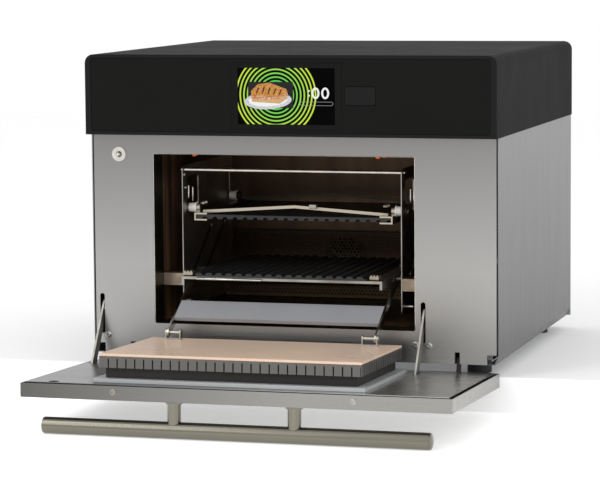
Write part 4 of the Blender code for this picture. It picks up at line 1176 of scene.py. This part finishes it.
@dataclass
class Casing:
    """The black casing on top, with the screws at its back."""

    screw: float = 0.0032
    screw_height: float = 0.0012
    sunk: float = 0.0010
    inset: float = 0.018
    levels: tuple[float, float] = (0.36, 0.44)

    def build(self) -> None:
        """Dresses the casing and adds its screws."""
        dress("casing_black", "casing_bezel", "top_cover", "port_flap")
        dress("panel_black", "control_panel", "screen_frame")
        dress("screen_glass", "touchscreen")
        dress("galvanised", "casing_deck")
        dress("board_green", "control_board")
        x = HIGH.x - self.inset
        back = HIGH.y - self.sunk
        out = Vector((0, 1, 0))
        spots = [Spot(Vector((side * x, back, BODY_Z + h)), out) for side in (-1, 1) for h in self.levels]
        ScrewHeads(self.screw, self.screw_height).build("casing_screws", spots, "shell")


@dataclass
class Display:
    """The lit picture, counter and bar that lie on the black glass."""

    front: float = -0.01845
    depth: float = 0.00012
    middle: float = -0.0261
    level: float = 0.40625
    dish_scale: float = 1.25
    dish_shift: float = -0.004
    bar_size: tuple[float, float] = (0.0257, 0.0027)
    bar_place: tuple[float, float] = (0.0726, -0.01295)

    def place(self, x: float, height: float, layer: int) -> Vector:
        """Returns a point on the glass.

        Args:
            x: Distance to the right of the picture's middle.
            height: Height above the picture's middle.
            layer: How many layers of the picture lie under it.

        Returns:
            The point.
        """
        return at(self.middle + x, self.front - layer * self.depth, self.level + height)

    def patch(self, name: str, look: str, layer: int, outline: Sequence[tuple[float, float]]) -> None:
        """Makes one lit shape.

        Args:
            name: The piece's name.
            look: Name of its finish.
            layer: How many layers lie under it.
            outline: Its points about the picture's middle.
        """
        scale, shift = (self.dish_scale, self.dish_shift) if layer else (1.0, 0.0)
        points = [self.place(x * scale + shift, h * scale, layer) for x, h in outline]
        Shape().prism(points, Vector((0, -self.depth * 0.9, 0))).done(name, "shell", "screen_glass", look)

    def oval(
        self, width: float, height: float, up: float, lean: float = 0.0, count: int = 28
    ) -> list[tuple[float, float]]:
        """Returns the outline of an oval, its half width and half height given, raised and leaned."""
        turns = [2 * math.pi * i / count for i in range(count)]
        return [(width * math.cos(t), up + height * math.sin(t) + lean * width * math.cos(t)) for t in turns]

    def build(self) -> None:
        """Makes the picture, the counter and the bar."""
        self.patch(
            "picture_ground",
            "lit_ground",
            0,
            [(-0.0357, -0.0199), (0.0357, -0.0199), (0.0357, 0.0198), (-0.0357, 0.0198)],
        )
        self.patch("picture_plate", "lit_plate", 1, self.oval(0.0300, 0.0105, -0.0070, 0.05))
        self.patch("picture_plate_well", "lit_white", 2, self.oval(0.0245, 0.0076, -0.0064, 0.05))
        lower = [
            (-0.0205, -0.0085),
            (0.0150, -0.0105),
            (0.0245, -0.0045),
            (0.0245, -0.0005),
            (-0.0010, 0.0030),
            (-0.0205, -0.0030),
        ]
        self.patch("picture_lower_slice", "lit_crumb", 3, lower)
        filling = [
            (-0.0215, -0.0040),
            (-0.0080, -0.0062),
            (0.0160, -0.0050),
            (0.0255, -0.0010),
            (0.0250, 0.0020),
            (0.0, 0.0050),
            (-0.0210, 0.0005),
        ]
        self.patch("picture_filling", "lit_filling", 4, filling)
        upper = [
            (-0.0210, -0.0002),
            (0.0140, -0.0022),
            (0.0250, 0.0030),
            (0.0235, 0.0072),
            (0.0020, 0.0150),
            (-0.0130, 0.0128),
            (-0.0215, 0.0045),
        ]
        self.patch("picture_upper_slice", "lit_bread", 5, upper)
        for i in range(5):
            x = -0.0155 + 0.0072 * i
            low, high = 0.0016 - 0.0004 * i, 0.0100 - 0.0010 * abs(i - 1)
            stripe = [(x, low), (x + 0.0018, low), (x + 0.0050, high), (x + 0.0030, high)]
            self.patch(f"picture_grill_mark_{i}", "lit_char", 6, stripe)
        self.digits()
        self.bar()

    def digits(self) -> None:
        """Makes the counter: a colon and two noughts."""
        marks = Shape()
        for dx, dh in ((0.0608, -0.0008), (0.0608, 0.0064)):
            centre = self.place(dx, dh, 1)
            marks.rod(centre, centre + Vector((0, -self.depth, 0)), 0.00135, 16)
        for dx in (0.0710, 0.0862):
            outer, inner = self.oval(0.0062, 0.0088, 0.0030, count=32), self.oval(
                0.0031, 0.0058, 0.0030, count=32
            )
            rings = []
            for outline, layer in ((outer, 0), (outer, 1), (inner, 1), (inner, 0)):
                rings.append(
                    [
                        marks.bm.verts.new(self.place(x + dx, h, 0) + Vector((0, -self.depth * layer, 0)))
                        for x, h in outline
                    ]
                )
            marks.skin(rings, closed=True)
        marks.done("counter_digits", "shell", "screen_glass", "lit_white")

    def bar(self) -> None:
        """Makes the outline of the progress bar."""
        width, height = self.bar_size
        across, up = self.bar_place
        path = []
        for cx, start in ((width - height, -90), (-(width - height), 90)):
            for step in range(9):
                angle = math.radians(start + step * 22.5)
                path.append(
                    self.place(across + cx + height * math.cos(angle), up + height * math.sin(angle), 1)
                )
        Shape().tube(path, 0.00035, 6, closed=True).done("progress_bar", "shell", "screen_glass", "lit_grey")


@dataclass
class Front:
    """The steel front with its screws, latch and hinges."""

    screw: float = 0.0043
    places: tuple[tuple[float, float], ...] = ((-0.3004, 0.0279), (0.2156, 0.0264), (0.1943, 0.0270))

    def build(self) -> None:
        """Dresses the front and adds its screws."""
        dress("steel", "front_panel")
        dress("bright_steel", "catch_ball", "catch_ring")
        dress("blower_dark", "hinge_bracket_left", "hinge_bracket_right", "hinge_arm_left", "hinge_arm_right")
        spots = [Spot(at(x, -0.0001, h), Vector((0, -1, 0))) for x, h in self.places]
        ScrewHeads(self.screw, 0.0020, Drive.SQUARE).build("front_screws", spots, "shell")
        washers = Shape()
        for x, h in self.places:
            washers.turned(
                at(x, -0.00005, h), Vector((0, -1, 0)), [(0, 0.0058), (0.0004, 0.0056), (0.0006, 0.0048)], 28
            )
        washers.done("front_screw_washers", "shell", "bright_steel", "dull_steel")


@dataclass
class Cavity:
    """The cavity's lining, perforated rear sheet, heater and small fittings."""

    tip: float = 0.0036
    tip_x: float = 0.1430
    tip_depths: tuple[float, float] = (0.018, 0.040)
    rivet: float = 0.0024
    rivets: int = 11
    rivet_pitch: float = 0.036
    mouth_half: float = 0.2083
    mouth_levels: tuple[float, float] = (0.0489, 0.3128)

    def build(self) -> None:
        """Dresses the cavity and adds its sheet, tips and rivets."""
        dress("cavity_steel", "cavity_liner")
        dress("heater_tube", "heater_element")
        low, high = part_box("rear_baffle")
        middle = (low + high) / 2
        sheet = PerforatedSheet(high.x - low.x, high.z - low.z).build(
            "perforated_sheet", Vector(
                (middle.x, high.y, middle.z)
            ), "shell", "cavity_steel", "perforated_steel"
        )
        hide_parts("rear_baffle")
        tips = Shape()
        for side in (-1, 1):
            for depth in self.tip_depths:
                top = at(CAVITY_X + side * self.tip_x + side * depth * 0.2, depth, 0.3128)
                tips.turned(
                    top, Vector((0, 0, -1)), [(0, self.tip), (0.0030, self.tip), (0.0044, self.tip * 0.6)], 16
                )
        tips.done("roof_tips", "shell", "rubber", "orange_tip")
        roof = [
            Spot(at(CAVITY_X + (i - self.rivets // 2) * self.rivet_pitch, 0.030, 0.3133), Vector((0, 0, -1)))
            for i in range(self.rivets)
        ]
        ScrewHeads(self.rivet, 0.0012, Drive.PLAIN).build(
            "roof_rivets", roof, "shell", "cavity_steel", "copper"
        )
        rim = Shape()
        lowest, highest = self.mouth_levels
        left, right = CAVITY_X - self.mouth_half, CAVITY_X + self.mouth_half
        corners = [
            at(x, 0.0004, z) for x, z in ((left, lowest), (left, highest), (right, highest), (right, lowest))
        ]
        for start, end in zip(corners, corners[1:]):
            rim.tube([start, end], 0.0005, 6)
        rim.done("mouth_bead", "shell", "bright_steel", "bright_steel")


@dataclass
class Press:
    """The two ribbed grills with their carriage, side plates, rails and fittings."""

    pin_level: float = 0.2235
    pin_depths: tuple[float, float] = (0.072, 0.282)
    rod_x: float = 0.1805
    rod_radius: float = 0.0016
    rod_spans: tuple[Point, ...] = ((0.088, 0.2365, 0.2565), (0.1086, 0.2300, 0.2523))
    nut_x: float = 0.1478
    nut_depths: tuple[float, float] = (0.0600, 0.0735)
    nut_level: float = 0.2306
    clip_middles: tuple[float, float] = (-0.1630, 0.1340)
    clip_size: Point = (0.0150, 0.0150, 0.0050)
    clip_bumps: Point = (-0.0048, 0.0, 0.0048)
    plate_face: float = 0.1754
    plate_screws: tuple[tuple[float, float], ...] = ((0.052, 0.2765), (0.058, 0.2560), (0.060, 0.1180))

    def build(self) -> None:
        """Dresses the press and adds its fittings."""
        dress("grill_iron", "lower_grill", "upper_grill")
        dress("press_plate", "press_side_left", "press_side_right")
        dress("press_plate", "press_carriage")
        dress("spacer_steel", "press_spacer_left", "press_spacer_right")
        dress("bright_steel", "press_crossbar", "press_bolt_left", "press_bolt_right")
        dress("rail_steel", "upper_frame")
        self.bushes()
        self.rods()
        self.clips()
        self.screws()

    def bushes(self) -> None:
        """Makes the pale bushes on the pins, and the discs outside the side plates."""
        bushes, discs = Shape(), Shape()
        for side in (-1, 1):
            for depth in self.pin_depths:
                axis = Vector((side, 0, 0))
                start = at(CAVITY_X + side * 0.1608, depth, self.pin_level)
                bushes.turned(
                    start, axis, [(0, 0.0084), (0.0020, 0.0084), (0.0022, 0.0076), (0.0125, 0.0069)], 28
                )
                rim = at(CAVITY_X + side * 0.1785, depth, self.pin_level)
                discs.turned(
                    rim, axis, [(0, 0.0102), (0.0010, 0.0106), (0.0018, 0.0098), (0.0020, 0.0040)], 28
                )
        bushes.done("pin_bushes", "upper_press", "plug_core", "white_bush")
        discs.done("pin_discs", "upper_press", "dull_steel", "pale_bracket")

    def rods(self) -> None:
        """Makes the guide rods outside the side plates, the nuts on the rails and the wire's clamp."""
        rods, nuts = Shape(), Shape()
        for side in (-1, 1):
            x = CAVITY_X + side * self.rod_x
            for depth, low, high in self.rod_spans:
                rods.rod(at(x, depth, low), at(x, depth, high), self.rod_radius, 10)
            for depth in self.nut_depths:
                nuts.turned(
                    at(CAVITY_X + side * self.nut_x, depth, self.nut_level),
                    Vector((0, 0, 1)),
                    [(0, 0.0038), (0.0026, 0.0038), (0.0034, 0.0030)],
                    6,
                )
        rods.done("guide_rods", "upper_press", "bright_steel", "bright_steel")
        nuts.done("rail_nuts", "upper_press", "bright_steel", "pale_bracket")
        clamp = Shape().box(at(0.0130, 0.0505, 0.2262), at(0.0250, 0.0580, 0.2330), 0.0012)
        clamp.done("wire_clamp", "upper_press", "dull_steel", "dull_steel")

    def clips(self) -> None:
        """Makes the bumpy clips on the lower grill's front corners and the bright lip rod under its left end."""
        clips = Shape()
        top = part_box("lower_grill")[1].z
        for middle in self.clip_middles:
            low = Vector((middle - 0.0075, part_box("lower_grill")[0].y + 0.0008, top - 0.0045))
            clips.box(low, low + Vector(self.clip_size), 0.0009)
            for bump in self.clip_bumps:
                start = Vector((middle + bump, low.y + 0.0010, top + 0.0008))
                clips.rod(start, start + Vector((0, 0.0130, 0)), 0.0019, 12)
        clips.done("grill_clips", "press_carriage", "aluminium", "pale_bracket")
        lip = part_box("press_carriage")
        rod = Shape().rod(
            Vector((-0.1500, lip[0].y - 0.0012, lip[1].z - 0.0030)),
            Vector((-0.0450, lip[0].y - 0.0012, lip[1].z - 0.0030)),
            0.0020,
            12,
        )
        rod.done("tray_lip_rod", "press_carriage", "bright_steel", "bright_steel")

    def screws(self) -> None:
        """Makes the screw heads on the side plates."""
        spots = []
        for side in (-1, 1):
            for depth, height in self.plate_screws:
                spots.append(
                    Spot(at(CAVITY_X + side * self.plate_face, depth, height), Vector((-side, 0, 0)))
                )
        ScrewHeads(0.0034, 0.0018).build("side_plate_screws", spots, "shell")


@dataclass
class Linkage:
    """The arms that drive the press, with their clevises and stays."""

    knob: float = 0.0042

    def build(self) -> None:
        """Dresses the linkage and adds its pin heads and knobs."""
        dress("bright_steel", "lift_arm_left", "lift_arm_right", "clevis_left", "clevis_right")
        dress("dull_steel", "stay_left", "stay_right")
        dress("apron_steel", "drip_apron")
        heads = Shape()
        for side in (-1, 1):
            low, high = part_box("clevis_left" if side < 0 else "clevis_right")
            x = low.x if side < 0 else high.x
            centre = Vector((x, (low.y + high.y) / 2, high.z - 0.0055))
            heads.turned(centre, Vector((side, 0, 0)), [(0, 0.0042), (0.0010, 0.0042), (0.0017, 0.0030)], 20)
        heads.done("clevis_pin_heads", "door", "bright_steel", "bright_steel")
        for name, side in (("stay_left", -1), ("stay_right", 1)):
            low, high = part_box(name)
            centre = Vector((high.x if side < 0 else low.x, high.y - 0.0090, high.z - 0.0130))
            knob = Shape().turned(
                centre,
                Vector((-side, 0, 0)),
                [(0, self.knob), (0.0015, self.knob), (0.0026, self.knob * 0.6)],
                20,
            )
            knob.done(name + "_knob", name, "bright_steel", "bright_steel")


@dataclass
class Plug:
    """The door's plug: a glossy plate on a fringe of steel fingers above the base frame."""

    half_width: float = 0.1987
    lowest: float = 0.0629
    highest: float = 0.2988
    top: float = 0.0347
    fringe: float = 0.0165
    band: float = 0.0030
    pitch: float = 0.0139
    slot: float = 0.0020
    wall: float = 0.0015

    def build(self) -> None:
        """Dresses the plug and makes its fringe."""
        dress("plug_tan", "plug_plate")
        dress("plug_core", "plug_core")
        dress("base_steel", "plug_base")
        across, along = [], []
        middle = self.top - self.fringe / 2 - HINGE_DEPTH
        count = round(2 * self.half_width / self.pitch)
        step = (2 * self.half_width - self.slot) / count
        for i in range(count):
            x = CAVITY_X - self.half_width + step * (i + 0.5) + self.slot / 2
            for height in (self.lowest + self.wall / 2, self.highest - self.wall / 2):
                across.append(Spot(Vector((x, HINGE_HEIGHT - height, middle)), Vector((0, 0, 1))))
        rows = round((self.highest - self.lowest) / self.pitch)
        rise = (self.highest - self.lowest - self.slot) / rows
        for i in range(rows):
            height = self.lowest + rise * (i + 0.5) + self.slot / 2
            for side in (-1, 1):
                x = CAVITY_X + side * (self.half_width - self.wall / 2)
                along.append(Spot(Vector((x, HINGE_HEIGHT - height, middle)), Vector((0, 0, 1))))
        front = Slabs(step - self.slot, self.wall, self.fringe).build(
            "fringe_across", across, "door", "dull_steel", "finger_steel", door_matrix()
        )
        Slabs(self.wall, rise - self.slot, self.fringe).build(
            "fringe_along", along, "door", "dull_steel", "finger_steel", door_matrix()
        )
        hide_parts("choke_skirt")
        self.bands()

    def bands(self) -> None:
        """Makes the strip that the fingers hang from."""
        band = Shape()
        low = self.top - self.band - HINGE_DEPTH
        high = self.top - HINGE_DEPTH
        inset = 0.0001
        for height in (self.lowest, self.highest - self.wall):
            start = (CAVITY_X - self.half_width + inset, HINGE_HEIGHT - height - self.wall + inset, low)
            band.box(start, (CAVITY_X + self.half_width - inset, HINGE_HEIGHT - height - inset, high))
        for x in (CAVITY_X - self.half_width, CAVITY_X + self.half_width - self.wall):
            start = (x + inset, HINGE_HEIGHT - self.highest + self.wall + inset, low)
            band.box(start, (x + self.wall - inset, HINGE_HEIGHT - self.lowest - self.wall - inset, high))
        band.done("fringe_band", "door", "dull_steel", "finger_steel", door_matrix())


@dataclass
class Door:
    """The drop-down door with its handle."""

    screw: float = 0.0046
    cap: float = 0.0035

    def build(self) -> None:
        """Dresses the door and adds screws and handle caps."""
        dress("steel_edge", "door_outer_skin")
        dress("steel_door", "door_inner_panel")
        dress("bright_bar", "handle_bar", "handle_post_left", "handle_post_right")
        facing = door_matrix().to_3x3() @ Vector((0, -1, 0))
        spots = [Spot(on_door(x, -0.0137, 0.32955), facing) for x in (-0.1804, 0.1802)]
        ScrewHeads(self.screw, 0.0014, Drive.SQUARE).build(
            "door_edge_screws", spots, "door", look="dull_steel"
        )
        caps = Shape()
        low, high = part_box("handle_bar")
        radius = (high.z - low.z) / 2
        middle = (low + high) / 2
        for side in (-1, 1):
            end = Vector((high.x if side > 0 else low.x, middle.y, middle.z))
            profile = [
                (0, radius * 0.94),
                (0.0002, radius * 0.96),
                (0.0012, radius * 0.96),
                (0.0028, radius * 0.72),
                (self.cap, radius * 0.30),
            ]
            caps.turned(end - Vector((side * 0.0001, 0, 0)), Vector((side, 0, 0)), profile, 32)
        caps.done("handle_caps", "door", "bright_steel", "bright_bar")


@dataclass
class Shell:
    """Sides, back and feet, with the screws of the back."""

    screw: float = 0.0030
    screw_height: float = 0.0012
    sunk: float = 0.0010
    columns: tuple[float, ...] = (-0.312, -0.156, 0.0, 0.156, 0.312)
    rows: tuple[float, ...] = (0.014, 0.330)

    def build(self) -> None:
        """Dresses the shell and adds the screws of the back."""
        dress("steel_side", "side_panel_left", "side_panel_right")
        dress("galvanised", "rear_panel", "base_pan")
        dress(
            "rubber", "foot_front_left", "foot_front_right", "foot_rear_left", "foot_rear_right", "cord_gland"
        )
        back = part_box("rear_panel")[1].y
        out = Vector((0, 1, 0))
        spots = [
            Spot(Vector((x, back - self.sunk, BODY_Z + h)), out) for x in self.columns for h in self.rows
        ]
        ScrewHeads(self.screw, self.screw_height).build("rear_screws", spots, "shell")


@dataclass
class Works:
    """What stands inside the body: blower, magnetron, waveguide, transformer and board."""

    def build(self) -> None:
        """Dresses the works and adds fins, windings and chips."""
        # Painted shade: the blower wheel is dressed near black, standing for the shade behind the perforated
        # sheet.
        dress("blower_dark", "blower_wheel")
        dress("aluminium", "waveguide")
        dress("blower_dark", "blower_motor")
        dress("dull_steel", "magnetron")
        dress("galvanised", "power_transformer")
        low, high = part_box("magnetron")
        fins = []
        for i in range(9):
            height = low.z + (high.z - low.z) * (0.25 + 0.055 * i)
            fins.append(Spot(Vector(((low.x + high.x) / 2, (low.y + high.y) / 2, height)), Vector((0, 0, 1))))
        Slabs(high.x - low.x + 0.003, high.y - low.y + 0.003, 0.0008).build(
            "magnetron_fins", fins, "shell", "aluminium", "aluminium"
        )
        low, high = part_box("power_transformer")
        coil = Shape()
        for share in (0.28, 0.62):
            start = low.y + (high.y - low.y) * share
            coil.box(
                (low.x - 0.002, start, low.z + 0.020), (high.x + 0.002, start + 0.016, high.z - 0.012), 0.004
            )
        coil.done("transformer_windings", "shell", "bright_steel", "copper")
        low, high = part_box("control_board")
        top = high.z + 0.0008
        chips = [
            Spot(Vector((low.x + 0.03 + 0.045 * i, low.y + 0.03 + 0.03 * j, top)), Vector((0, 0, 1)))
            for i in range(5)
            for j in range(2)
        ]
        Slabs(0.018, 0.012, 0.0016).build("board_chips", chips, "shell", "rubber", "rubber")


class Oven:
    """The whole oven."""

    parts: tuple[type, ...] = (Casing, Display, Front, Cavity, Press, Linkage, Plug, Door, Shell, Works)

    def build(self) -> None:
        """Builds each sub-assembly in turn."""
        for part in self.parts:
            LOG.info("building %s", part.__name__)
            part().build()


def main() -> None:
    """Builds the studio and the oven."""
    logging.basicConfig(level=logging.INFO, format="%(message)s")
    Studio().build()
    Oven().build()


if __name__ == "__main__":
    main()
